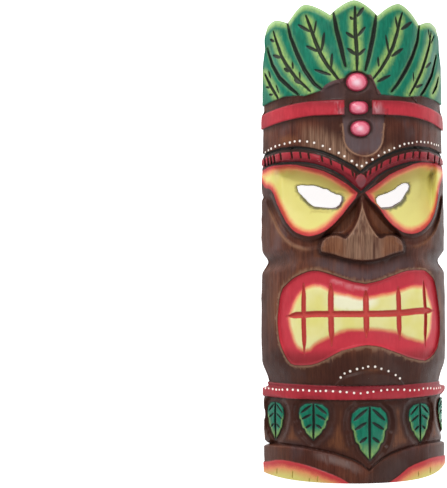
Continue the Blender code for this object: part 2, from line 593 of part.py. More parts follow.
def hole_cutter(name, points, group):
    """A prism through an eye dish, whose lower face slopes for the chisel."""
    ring = np.array(points, float)
    places = log_points(ring[:, 0], ring[:, 1], relief(ring[:, 0], ring[:, 1]))
    top = places[:, 1].max()
    floor = places[:, 2].mean()
    slope = HOLE_SLOPE / WALL / (top - places[:, 1].min())
    levels = (LOG_RADIUS - AXIS_DEPTH, floor / 4.0)
    bm = bmesh.new()
    face = bm.faces.new([bm.verts.new(place) for place in places])
    back = bmesh.ops.extrude_face_region(bm, geom=[face])["geom"]
    ends = (face.verts, [item for item in back if isinstance(item, bmesh.types.BMVert)])
    for level, verts in zip(levels, ends):
        for vert in verts:
            vert.co.y -= slope * (level - floor) * (top - vert.co.y)
            vert.co.z = level
    bmesh.ops.recalc_face_normals(bm, faces=bm.faces[:])
    return new_object(name, bm, group)


def as_cutter(obj):
    """Marks an object as a tool that isn't part of the mask."""
    obj.hide_render = True
    obj.display_type = "WIRE"
    return obj


def painted_wood():
    """The stained wood that shows over most of the mask."""
    material = bpy.data.materials.new("stained_wood")
    material.use_nodes = True
    shader = material.node_tree.nodes["Principled BSDF"]
    shader.inputs["Base Color"].default_value = WOOD_COLOUR
    shader.inputs["Roughness"].default_value = WOOD_ROUGHNESS
    shader.inputs["Metallic"].default_value = 0.0
    return material


def main():
    """Builds the mask."""
    for old in list(bpy.data.objects):
        bpy.data.objects.remove(old)
    parts = collection("Tiki mask")
    tools = collection("Cutters")
    mask = closed_blank(carved_front(tools), "tiki_mask", parts)
    cutters = [
        hollow_cutter(tools),
        hole_cutter("left_eye_cutter", LEFT_HOLE, tools),
        hole_cutter("right_eye_cutter", RIGHT_HOLE, tools),
    ]
    for cutter in cutters:
        carve = mask.modifiers.new(cutter.name, "BOOLEAN")
        carve.operation = "DIFFERENCE"
        carve.solver = "EXACT"
        carve.object = as_cutter(cutter)
    mask.data.materials.append(painted_wood())
    mask.data.shade_smooth()
    mask.data.set_sharp_from_angle(angle=math.radians(40.0))


main()
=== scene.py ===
"""A carved, painted and lacquered tiki mask, lying on its back on a pale floor.

The mask is half a log. Its carving is laid out on a plan of the unrolled log,
in plan millimetres: s runs round the log from the middle line and y runs up to
the leaf crown. Every line is cut straight in from one sight point, so a point
above or below the log moves along its line of sight. Each carved zone is a
class that knows its own outlines, cuts the relief, and tells the painter how
far each point lies from its edges.
"""
import logging
import math
from dataclasses import dataclass, field
from enum import Enum

import bmesh
import bpy
import numpy as np
from mathutils import Matrix, Vector


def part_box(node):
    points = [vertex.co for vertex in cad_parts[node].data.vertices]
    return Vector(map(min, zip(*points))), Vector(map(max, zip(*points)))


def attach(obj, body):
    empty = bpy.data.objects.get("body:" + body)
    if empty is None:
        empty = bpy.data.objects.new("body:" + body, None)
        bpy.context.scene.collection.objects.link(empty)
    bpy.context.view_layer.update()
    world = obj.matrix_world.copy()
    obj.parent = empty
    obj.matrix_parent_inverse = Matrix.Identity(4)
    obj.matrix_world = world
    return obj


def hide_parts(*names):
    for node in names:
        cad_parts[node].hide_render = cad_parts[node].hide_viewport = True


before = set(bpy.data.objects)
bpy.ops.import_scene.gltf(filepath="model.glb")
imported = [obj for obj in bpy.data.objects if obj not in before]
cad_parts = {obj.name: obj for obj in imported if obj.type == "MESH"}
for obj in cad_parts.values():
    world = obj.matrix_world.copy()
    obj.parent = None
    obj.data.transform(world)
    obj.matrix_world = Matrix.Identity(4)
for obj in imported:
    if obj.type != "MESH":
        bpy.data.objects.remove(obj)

log = logging.getLogger("tiki_mask")

NODE = "tiki_mask"
BODY = "root"
PLAN_LENGTH = 500.0
PLAN_HALF = 121.5
LOWER_BAND = -156.7

Array = np.ndarray
Points = tuple[tuple[float, float], ...]
Colour = tuple[float, float, float]
Socket = bpy.types.NodeSocket


class Side(Enum):
    """Which side of the face an eye is on, seen from the front."""

    LEFT = "left"
    RIGHT = "right"


class Surface(Enum):
    """Material slots of the carved piece."""

    PAINTED = 0
    BARE = 1


def ramp(value: Array, start: float, end: float) -> Array:
    """A smooth step.

    Args:
        value: Values to grade.
        start: Where the step leaves 0.
        end: Where the step reaches 1.

    Returns:
        Shares from 0 to 1.
    """
    share = np.clip((value - start) / (end - start), 0.0, 1.0)
    return share * share * (3.0 - 2.0 * share)


def fade(value: Array, limit: float, soft: float) -> Array:
    """1 far below a limit, falling smoothly to 0 there over the last soft part."""
    return ramp(limit - value, 0.0, soft)


def stripe(value: Array, middle: float, half: float, soft: float) -> Array:
    """1 in the middle of a stripe, falling smoothly to 0 at its edges."""
    return fade(np.abs(value - middle), half, soft)


def level_at(s: Array, line: Points) -> Array:
    """Height of a line that runs across the plan, at each s."""
    table = np.array(line, float)
    return np.interp(s, table[:, 0], table[:, 1])


def along(s: Array, y: Array, line: Points, reach: float) -> tuple[Array, Array]:
    """Places along a line and distances from it.

    Args:
        s: Plan positions round the log.
        y: Plan positions up the log.
        line: The line's points.
        reach: The farthest distance that matters.

    Returns:
        Share of the line passed at the nearest point, and the distance, at most reach.
    """
    table = np.array(line, float)
    off = np.full(s.shape, float(reach))
    run = np.zeros(s.shape)
    low, high = table.min(axis=0) - reach, table.max(axis=0) + reach
    pick = (s > low[0]) & (s < high[0]) & (y > low[1]) & (y < high[1])
    if not pick.any():
        return run, off
    point = np.stack([s[pick], y[pick]], axis=1)
    best = np.full(len(point), float(reach) ** 2)
    place = np.zeros(len(point))
    passed = 0.0
    for start, end in zip(table[:-1], table[1:]):
        step = end - start
        length = math.hypot(*step)
        share = np.clip(((point - start) @ step) / max(length**2, 1e-12), 0.0, 1.0)
        gap = ((point - start - share[:, None] * step) ** 2).sum(axis=1)
        place = np.where(gap < best, passed + share * length, place)
        best = np.minimum(best, gap)
        passed += length
    off[pick] = np.sqrt(best)
    run[pick] = place / passed
    return run, off


def near(s: Array, y: Array, line: Points, reach: float) -> Array:
    """Distance from a line, at most reach."""
    return along(s, y, line, reach)[1]


def gouge_gap(s: Array, y: Array, line: Points, width: float, ends: float = 0.0) -> Array:
    """Distance outside a gouge that is widest in its middle.

    Args:
        s: Plan positions round the log.
        y: Plan positions up the log.
        line: The gouge's line.
        width: Its full width in the middle.
        ends: Width left at its ends, as a share.

    Returns:
        Distances, negative inside the gouge.
    """
    run, off = along(s, y, line, Brushwork.FAR)
    swell = ends + (1.0 - ends) * np.sqrt(np.clip(np.sin(math.pi * run), 0.0, 1.0))
    return off - 0.5 * width * swell


def inset(s: Array, y: Array, outline: Points, reach: float) -> Array:
    """Distance in from a closed outline, negative outside.

    Args:
        s: Plan positions round the log.
        y: Plan positions up the log.
        outline: The outline's points, without the first one again.
        reach: The farthest distance that matters, each way.

    Returns:
        Distances from -reach to reach.
    """
    ring = tuple(outline) + tuple(outline[:1])
    inside = np.zeros(s.shape, bool)
    for (s0, y0), (s1, y1) in zip(ring[:-1], ring[1:]):
        if y0 == y1:
            continue
        crosses = (y0 > y) != (y1 > y)
        inside ^= crosses & (s < (s1 - s0) * (y - y0) / (y1 - y0) + s0)
    gap = near(s, y, ring, reach)
    return np.where(inside, gap, -gap)


def cut(distance: Array, width: float, depth: float) -> Array:
    """A cut with sloping sides, as heights, from the distance to its line."""
    return -depth * ramp(width / 2.0 - distance, 0.0, width / 2.0)


def hand_waver(s: Array, y: Array, cell: float, seed: int) -> Array:
    """Smooth unevenness left by the hand, from -1 to 1.

    Args:
        s: Plan positions round the log.
        y: Plan positions up the log.
        cell: Size of one swell, in plan millimetres.
        seed: Which pattern.

    Returns:
        The unevenness at each point.
    """
    count = int(2.4 * PLAN_LENGTH / cell) + 4
    lattice = np.random.RandomState(seed).uniform(-1.0, 1.0, (count, count))
    u = s / cell + count / 2.0
    v = y / cell + count / 2.0
    i, j = np.floor(u).astype(int), np.floor(v).astype(int)
    fu, fv = u - i, v - j
    fu, fv = fu * fu * (3 - 2 * fu), fv * fv * (3 - 2 * fv)
    low = lattice[i, j] * (1 - fu) + lattice[i + 1, j] * fu
    high = lattice[i, j + 1] * (1 - fu) + lattice[i + 1, j + 1] * fu
    return low * (1 - fv) + high * fv


@dataclass
class Places:
    """Points on the plan, with the hand's waver already in them."""

    s: Array
    y: Array
    lean: float = -0.027
    waver: float = 0.3

    def __post_init__(self) -> None:
        """Shifts the points a little, as a hand-drawn line would."""
        s, y = self.s, self.y
        self.s = s + self.waver * hand_waver(s, y, 17.0, 3)
        self.y = y + self.waver * hand_waver(s, y, 19.0, 4)
        self.middle = self.s - self.lean * self.y
        self.a = np.abs(self.middle)


@dataclass
class Brushwork:
    """What the painter is told at each point: distances to edges, and masks."""

    count: int
    values: dict[str, Array] = field(default_factory=dict)

    SIGNED = ("leaf", "red", "bead", "warm", "lips", "teeth")
    GAPS = ("vein", "line", "bite")
    # Masks, in order: fresh green paint, painted shade, warm painted highlights, pale painted highlights and
    # wear on edges, olive painted shade on yellow, golden grain, painted sheen of the lacquer, and dark
    # painted shade in the eye holes.
    MASKS = ("fresh", "shade", "warm_highlight", "wear_and_highlight", "olive_shade", "grain", "painted_sheen", "cavity_shade")
    DOTS = ("dots", "dots_between")
    FAR = 12.0

    def __post_init__(self) -> None:
        """Starts every field far outside its area."""
        for name in self.SIGNED:
            self.values[name] = np.full(self.count, -self.FAR)
        for name in self.GAPS:
            self.values[name] = np.full(self.count, self.FAR)
        for name in self.MASKS:
            self.values[name] = np.zeros(self.count)
        self.dots = {name: np.full((self.count, 3), self.FAR) for name in self.DOTS}

    def widen(self, name: str, value: Array) -> None:
        """Joins an area or a mask to a field: the larger value holds."""
        self.values[name] = np.maximum(self.values[name], value)

    def narrow(self, name: str, value: Array) -> None:
        """Cuts a field back, or brings a line nearer: the smaller value holds."""
        self.values[name] = np.minimum(self.values[name], value)

    def add_dots(self, p: Places, centres: Points) -> None:
        """Adds dots, every other one in its own field: each point learns its place beside the nearest one."""
        for count, (s, y) in enumerate(centres):
            row = self.dots[self.DOTS[count % 2]]
            closer = np.hypot(p.s - s, p.y - y) < np.hypot(row[:, 0], row[:, 1])
            row[closer] = np.stack([p.s - s, p.y - y, np.full(self.count, count)], axis=1)[closer]

    def write(self, mesh: bpy.types.Mesh) -> None:
        """Stores every field on a mesh's points."""
        for name, value in self.values.items():
            layer = mesh.attributes.new(name, "FLOAT", "POINT")
            layer.data.foreach_set("value", value.astype(np.float32))
        for name, row in self.dots.items():
            layer = mesh.attributes.new(name, "FLOAT_VECTOR", "POINT")
            layer.data.foreach_set("vector", row.astype(np.float32).ravel())


@dataclass
class Blank:
    """The half log before carving, at the size of the frame's solid."""

    length: float
    radius: float = 0.110
    axis_depth: float = 0.0465
    edge_height: float = 0.003
    wall: float = 0.018
    top_block: float = 0.048
    bottom_block: float = 0.044
    corner: float = 0.024
    sight: tuple[float, float, float] = (-0.236, -0.002, 1.488)
    trims: Points = (
        (-250, -3.0), (-236, -2.6), (-214, -2.0), (-200, -0.8), (-169, -0.8), (-163, -2.2), (-152, -2.2),
        (-147, 0.0), (-130, 0.6), (-110, 1.2), (-60, 1.0), (-35, 0.2), (-10, 0.0), (5, 0.6), (30, 0.2),
        (70, -0.3), (100, -1.7), (127, -2.2), (150, -3.6), (185, -4.0), (202, -6.0), (250, -6.5))

    @property
    def unit(self) -> float:
        """One plan millimetre in metres."""
        return self.length / PLAN_LENGTH

    @property
    def full_angle(self) -> float:
        """Angle round the log at which its untrimmed surface meets the edge height."""
        return math.acos((self.axis_depth + self.edge_height) / self.radius)

    def trim(self, y: Array) -> Array:
        """How far the log is trimmed at each height, in metres."""
        return level_at(y, self.trims) * self.unit

    def meet(self, run: Array, fall: Array, radius: Array | float) -> Array:
        """Share of a line of sight at which it meets a round bar on the log's axis.

        Args:
            run: Sideways part of each line, from the sight point.
            fall: Its part along Z.
            radius: The bar's radius.

        Returns:
            One share for each line.
        """
        side, over_axis = self.sight[0], self.sight[2] + self.axis_depth
        square = run**2 + fall**2
        half = side * run + over_axis * fall
        rest = side**2 + over_axis**2 - radius**2
        return (-half - np.sqrt(np.clip(half**2 - square * rest, 0.0, None))) / square

    def points(self, s: Array, y: Array, height: Array) -> Array:
        """Plan points at a height over the log, as points in space.

        Args:
            s: Plan positions round the log.
            y: Plan positions up the log.
            height: Heights over the log, in metres.

        Returns:
            One row of three coordinates for each point.
        """
        angle = s * self.full_angle / PLAN_HALF
        start = np.stack([self.radius * np.sin(angle), y * self.unit,
                          self.radius * np.cos(angle) - self.axis_depth], axis=1)
        step = start - self.sight
        share = self.meet(step[:, 0], step[:, 2], self.radius + height)
        share = np.minimum(share, (self.edge_height - self.sight[2]) / step[:, 2])
        return self.sight + share[:, None] * step

    def unroll(self, points: Array) -> tuple[Array, Array, Array]:
        """Points in space as plan points, with their heights over the log."""
        step = points - self.sight
        share = self.meet(step[:, 0], step[:, 2], self.radius)
        start = self.sight + share[:, None] * step
        s = np.arctan2(start[:, 0], start[:, 2] + self.axis_depth) * PLAN_HALF / self.full_angle
        height = np.hypot(points[:, 0], points[:, 2] + self.axis_depth) - self.radius
        return s, start[:, 1] / self.unit, height

    def side_reach(self, side: Array, height: Array) -> Array:
        """Plan distance at which a surface meets the edge height."""
        across = np.sqrt((self.radius + height) ** 2 - (self.axis_depth + self.edge_height) ** 2)
        level = np.full(len(across), self.edge_height)
        places = np.stack([side * across, np.zeros(len(across)), level], axis=1)
        return np.abs(self.unroll(places)[0])


@dataclass
class LeafCrown:
    """A fan of pointed leaves with cut ribs and veins."""

    rise: float = 0.0022
    separator: tuple[float, float] = (5.0, 0.0030)
    midrib: tuple[float, float] = (3.6, 0.0022)
    vein_depth: float = 0.0014
    tip_rounding: float = 0.0030
    pillow: float = 0.0011
    hump: float = 1.6
    edge: Points = (
        (-126, 214), (-97, 233.5), (-79.5, 228.6), (-59.5, 246.4), (-32.2, 234), (-7.3, 248.6), (17.3, 232.8),
        (41.3, 246.4), (69, 226.2), (87, 231), (120, 214))
    separators: tuple[Points, ...] = (
        ((-28.4, 236), (-25.5, 218), (-20.4, 197.4), (-16.5, 180)),
        ((15.9, 233), (12.4, 211.4), (7.8, 190.6), (3.8, 176)),
        ((-80.2, 229), (-76.3, 213.8), (-69, 196.5), (-60, 178.4), (-49.8, 164), (-40, 156)),
        ((69.4, 225), (66.7, 209), (59.2, 192.5), (49.8, 177.2), (39, 162), (32.6, 154.5)),
        ((-109.2, 204.6), (-101.8, 187), (-91, 172.3), (-78, 161.6), (-67.3, 153.2)),
        ((101, 196.5), (90.9, 175.6), (77.3, 158.6), (70.7, 152.3)))
    midribs: tuple[Points, ...] = (
        ((-6.4, 242), (-6.3, 228), (-5.9, 213), (-4.7, 192.4), (-4.8, 176)),
        ((-58.4, 235), (-52.9, 221), (-47.8, 206.5), (-42.2, 194), (-34.6, 181.3), (-27.1, 170.8),
         (-20.5, 162.3)),
        ((46.2, 237.4), (43.2, 229.6), (39.4, 215.6), (34.5, 201.6), (28.4, 189.6), (20.9, 178.2),
         (12.2, 167.6)),
        ((-99.9, 222.5), (-95, 210.2), (-88.5, 195.6), (-80.3, 183.3), (-70.7, 171.5), (-58.2, 160.2),
         (-53.7, 155.8)),
        ((90, 221.5), (86.9, 207.2), (79.8, 191.7), (72.8, 178.4), (66.6, 169.2), (60.6, 160.2),
         (54.8, 152.2)),
        ((-114.5, 178.8), (-104.3, 165.2), (-93.3, 150.7)),
        ((107, 175), (101.4, 165), (92.5, 156)))
    rib_width: float = 4.2
    rib_ends: float = 0.4
    vein_spread: float = 0.6
    vein_ends: float = 0.15
    groove_width: float = 5.0
    groove_ends: float = 0.3
    stain_edge: float = 0.55
    stain_slope: float = 8.0
    veins: tuple[tuple[float, ...], ...] = (
        (2.8, 241, -4.4, 231.3, 3.4), (-11.7, 231.6, -8.6, 228.2, 2.5), (4.5, 220.9, -3.9, 211, 2.8),
        (-15.9, 215.4, -7.2, 209.3, 3.1), (4, 198.5, -3.6, 191.4, 2.8), (-14.6, 199, -5.6, 192, 3.4),
        (-67, 226.3, -53.5, 217.5, 3), (-46.9, 228.6, -49.2, 215.6, 2), (-58.2, 203.3, -45, 196.7, 3),
        (-38.3, 216.2, -41.5, 196.5, 3), (-49.2, 178.5, -31.6, 171.7, 2.8), (-30, 194.2, -31.2, 178, 2.5),
        (58.5, 228.6, 44.2, 219.9, 3.8), (37.6, 232.8, 39.7, 220.4, 2), (46.6, 200.1, 32.7, 191.3, 3.4),
        (26, 213.5, 30.2, 192.3, 2), (31.6, 171.7, 16.4, 164.5, 3), (17.5, 190.4, 18.3, 180, 2),
        (-105, 214.7, -98.5, 211.5, 2.8), (-100.7, 197.3, -88.9, 193.5, 3.4), (-85, 181.8, -78.8, 177.6, 3.4),
        (-72.3, 169.4, -64.5, 164.7, 3.4), (-74.4, 187.9, -73.5, 180, 2), (-66, 177, -65, 169, 1.5),
        (97.4, 218.7, 89.5, 209, 2), (89.9, 189.5, 79.7, 182.6, 2.8), (73.9, 164.4, 63.6, 160.7, 2.8),
        (84, 224.4, 88, 212, 1.5), (60, 176.3, 61, 166.6, 1.5), (-108, 181.8, -104.2, 172.9, 2),
        (-113, 164.9, -106, 163.5, 2), (-107.5, 156.3, -101, 155.8, 2), (-96.3, 165.8, -92.3, 156.5, 1.5))
    leaf_end: Points = (
        (-126, 143), (-113, 146), (-100, 149), (-85, 152.2), (-68, 152.5), (-60, 151.5), (-48.6, 154.6),
        (-40, 157), (-29, 162), (-21, 164), (0, 168), (10, 168), (14, 160), (17, 151.5), (50, 150), (60, 151),
        (72, 152.5), (95, 149.5), (113, 146), (126, 143))

    def top_edge(self, s: Array) -> Array:
        """Height of the scalloped edge on the plan."""
        edge = np.full(s.shape, float(self.edge[0][1]))
        for start, end in zip(self.edge[:-1], self.edge[1:]):
            tip, notch = (end, start) if end[1] > start[1] else (start, end)
            share = np.clip((s - tip[0]) / (notch[0] - tip[0]), 0.0, 1.0)
            hump = notch[1] + (tip[1] - notch[1]) * (1.0 - share**self.hump)
            edge = np.where((s >= start[0]) & (s <= end[0]), hump, edge)
        return edge

    def leaf_share(self, p: Places) -> Array:
        """How far each point lies above the line where the leaves end."""
        return p.y - level_at(p.s, self.leaf_end)

    def gaps(self, p: Places) -> tuple[Array, Array, Array]:
        """Distances to the nearest separator line, and outside the ribs and the veins."""
        veins = [(((s0, y0), (s1, y1)), width + self.vein_spread) for s0, y0, s1, y1, width in self.veins]
        separator = [near(p.s, p.y, line, Brushwork.FAR) for line in self.separators]
        rib = [gouge_gap(p.s, p.y, line, self.rib_width, self.rib_ends) for line in self.midribs]
        vein = [gouge_gap(p.s, p.y, line, width, self.vein_ends) for line, width in veins]
        return tuple(np.minimum.reduce(gaps) for gaps in (separator, rib, vein))

    def relief(self, p: Places) -> Array:
        """Heights of the crown's carving, in metres."""
        leaf = ramp(self.leaf_share(p), -1.2, 1.2)
        separator, rib, vein = self.gaps(p)
        h = self.rise * leaf
        h += leaf * (cut(separator, *self.separator) - self.pillow * (1.0 - ramp(separator, 1.5, 9.0)))
        ribs, veins = self.midrib[1] * ramp(-rib, -0.4, 1.5), self.vein_depth * ramp(-vein, -0.4, 1.2)
        h -= leaf * np.maximum(ribs, veins)
        return h - self.tip_rounding * (1.0 - ramp(self.top_edge(p.s) - p.y, -1.0, 8.0))

    def paint(self, p: Places, brush: Brushwork) -> None:
        """Green leaves with dark ribs, fresh green beside the ribs and at the tips, a pale painted highlight
        on the tips' edge, painted shade below the leaves, and a painted sheen on the wood above the band.
        """
        above = self.leaf_share(p)
        separator, rib, vein = self.gaps(p)
        grooves = [gouge_gap(p.s, p.y, line, self.groove_width, self.groove_ends) for line in self.separators]
        on_leaf = ramp(above, -2.0, 2.0)
        here = above > -2.0
        brush.widen("leaf", np.where(here, above, -Brushwork.FAR))
        brush.narrow("vein", np.where(here, np.minimum.reduce([rib, vein] + grooves), Brushwork.FAR))
        from_tip = self.top_edge(p.s) - p.y
        beside = fade(rib, 8.0, 7.5) * ramp(from_tip, 6.0, 16.0)
        tip = fade(from_tip, 9.0, 7.0)
        rim = fade(separator, 4.5, 1.6) * 0.25
        foot = fade(above, 9.0, 8.0) * fade(rib, 9.0, 5.0) * 0.5
        brush.widen("fresh", on_leaf * np.maximum.reduce([beside, tip, rim, foot]))
        # Painted shade on the wood between the leaves' feet and the band.
        brush.widen("shade", 0.6 * ramp(-above, -1.0, 1.5) * ramp(p.y, 138.0, 146.0))
        # Pale painted highlight along the leaf tips' rounded edge.
        brush.widen("wear_and_highlight", 0.8 * fade(from_tip, 3.4, 1.8) * on_leaf)
        browned = fade(above, 9.0, 9.0) * ramp(p.s, -50.0, -34.0) * (p.s < 20.0)
        edge = (self.stain_edge - browned) * self.stain_slope
        brush.narrow("leaf", np.where(browned > 0.0, edge, Brushwork.FAR))
        # Painted sheen of the lacquer on the wood above the band's middle.
        brush.widen("painted_sheen", 0.55 * stripe(p.s, -6.0, 48.0, 18.0) * ramp(p.y, 145.0, 149.0))


@dataclass
class HeadBand:
    """The upper band, open in the middle over a sunk panel, with three beads."""

    middle: float = 138.2
    half: float = 7.6
    opening: tuple[float, float] = (-18.0, 10.8)
    level: float = 46.0
    fall: float = 5.6
    fall_power: float = 1.5
    rise: float = 0.0022
    panel: tuple[float, float, float] = (2.0, 108.7, 20.8)
    panel_cut: float = 0.0014
    bead_rise: float = 0.0048
    bead_seat: float = 0.0016
    beads: tuple[tuple[float, ...], ...] = (
        (-5.0, 164.3, 11.0, 9.4, 2.0, -0.0030),
        (-3.2, 137.8, 9.8, 6.8, 2.8, -0.0024),
        (-1.5, 116.2, 10.2, 8.1, 2.2, -0.0030),
    )

    def below_middle(self, p: Places) -> Array:
        """Height over the band's falling middle line."""
        fall = self.fall * (np.clip(p.a - self.level, 0.0, None) / self.level) ** self.fall_power
        return p.y - self.middle + fall

    def band(self, p: Places) -> Array:
        """Distance in from the band's edges."""
        left, right = self.opening
        ends = np.maximum(left - p.s, p.s - right)
        return np.minimum(self.half - np.abs(self.below_middle(p)), ends)

    def panel_share(self, p: Places) -> Array:
        """Distance in from the edge of the panel round the lowest bead."""
        s0, y0, r0 = self.panel
        flare = 0.10 * np.clip(p.y - y0, 0.0, None)
        return r0 + flare - np.hypot(p.s - s0, np.minimum(p.y - y0, 0.0))

    def in_panel(self, p: Places) -> Array:
        """True where the panel shows below the band."""
        return (p.y < self.middle) & (p.y > self.panel[1] - self.panel[2] - 2.0)

    def bead_share(self, p: Places, bead: tuple[float, ...]) -> Array:
        """0 in a bead's middle, 1 on its edge."""
        middle, height, half_s, half_y, power, _ = bead
        across, up = np.abs((p.s - middle) / half_s), np.abs((p.y - height) / half_y)
        return (across**power + up**power) ** (1.0 / power)

    def relief(self, p: Places) -> Array:
        """Heights of the band and its panel, in metres."""
        band = ramp(self.band(p), -1.0, 1.0)
        panel = ramp(self.panel_share(p), -0.7, 0.7) * self.in_panel(p)
        return self.rise * band - self.panel_cut * panel * (1.0 - band)

    def set_beads(self, p: Places, h: Array) -> Array:
        """The surface with the beads set into it."""
        for bead in self.beads:
            q = self.bead_share(p, bead)
            seat = ramp(q, 1.05, 1.40)
            h = h * seat + (bead[5] - self.bead_seat) * (1.0 - seat)
            h += self.bead_rise * np.sqrt(np.clip(1.0 - q**2, 0.0, 1.0))
        return h

    def paint(self, p: Places, brush: Brushwork) -> None:
        """Red band and pink beads, with painted shade under and over the band, in its opening and round the
        beads, a painted sheen in the panel, a painted highlight on its edge and darker wood just outside it,
        and pink painted highlights on the band beside its opening.
        """
        band = self.band(p)
        under = -self.half - self.below_middle(p)
        brush.widen("red", band)
        # Painted shade on the wood under the band.
        brush.widen("shade", 0.8 * ramp(under, -1.0, 0.5) * fade(under, 9.0, 8.0))
        over = self.below_middle(p) - self.half
        # Painted shade on the wood over the band.
        brush.widen("shade", 0.75 * ramp(over, -1.0, 0.3) * fade(over, 3.5, 2.5))
        panel = self.panel_share(p)
        shown = self.in_panel(p)
        # Painted sheen of the lacquer in the sunk panel.
        brush.widen("painted_sheen", 0.75 * ramp(panel, -0.5, 1.5) * shown * ramp(p.y, 84.0, 96.0))
        # Painted highlight along the panel's edge.
        brush.widen("wear_and_highlight", 0.85 * stripe(panel, 0.0, 1.1, 0.8) * shown * (p.y < 122.0))
        # Darker wood just outside the panel's edge.
        brush.widen("shade", 0.75 * stripe(panel, -2.4, 1.6, 1.4) * shown)
        left, right = self.opening
        gap = ramp(np.minimum(p.s - left, right - p.s), -0.5, 1.0)
        # Painted shade in the band's opening, between its ends.
        brush.widen("shade", 0.8 * gap * (p.y > 127.0) * (p.y < 156.0))
        for bead in self.beads:
            q = self.bead_share(p, bead)
            brush.widen("bead", (1.0 - q) * bead[3])
            # Painted shade round each bead.
            brush.widen("shade", 0.95 * fade(q, 1.5, 0.35))
            brush.narrow("leaf", (q - 1.22) * bead[3])
        # Pink painted highlights on the band beside its opening.
        dry_highlight = np.maximum(ramp(p.s, -31.0, -20.0) * (p.s < left), fade(p.s, 24.0, 9.0) * (p.s > right))
        brush.widen("wear_and_highlight", 0.9 * dry_highlight * ramp(band, 0.5, 2.5))


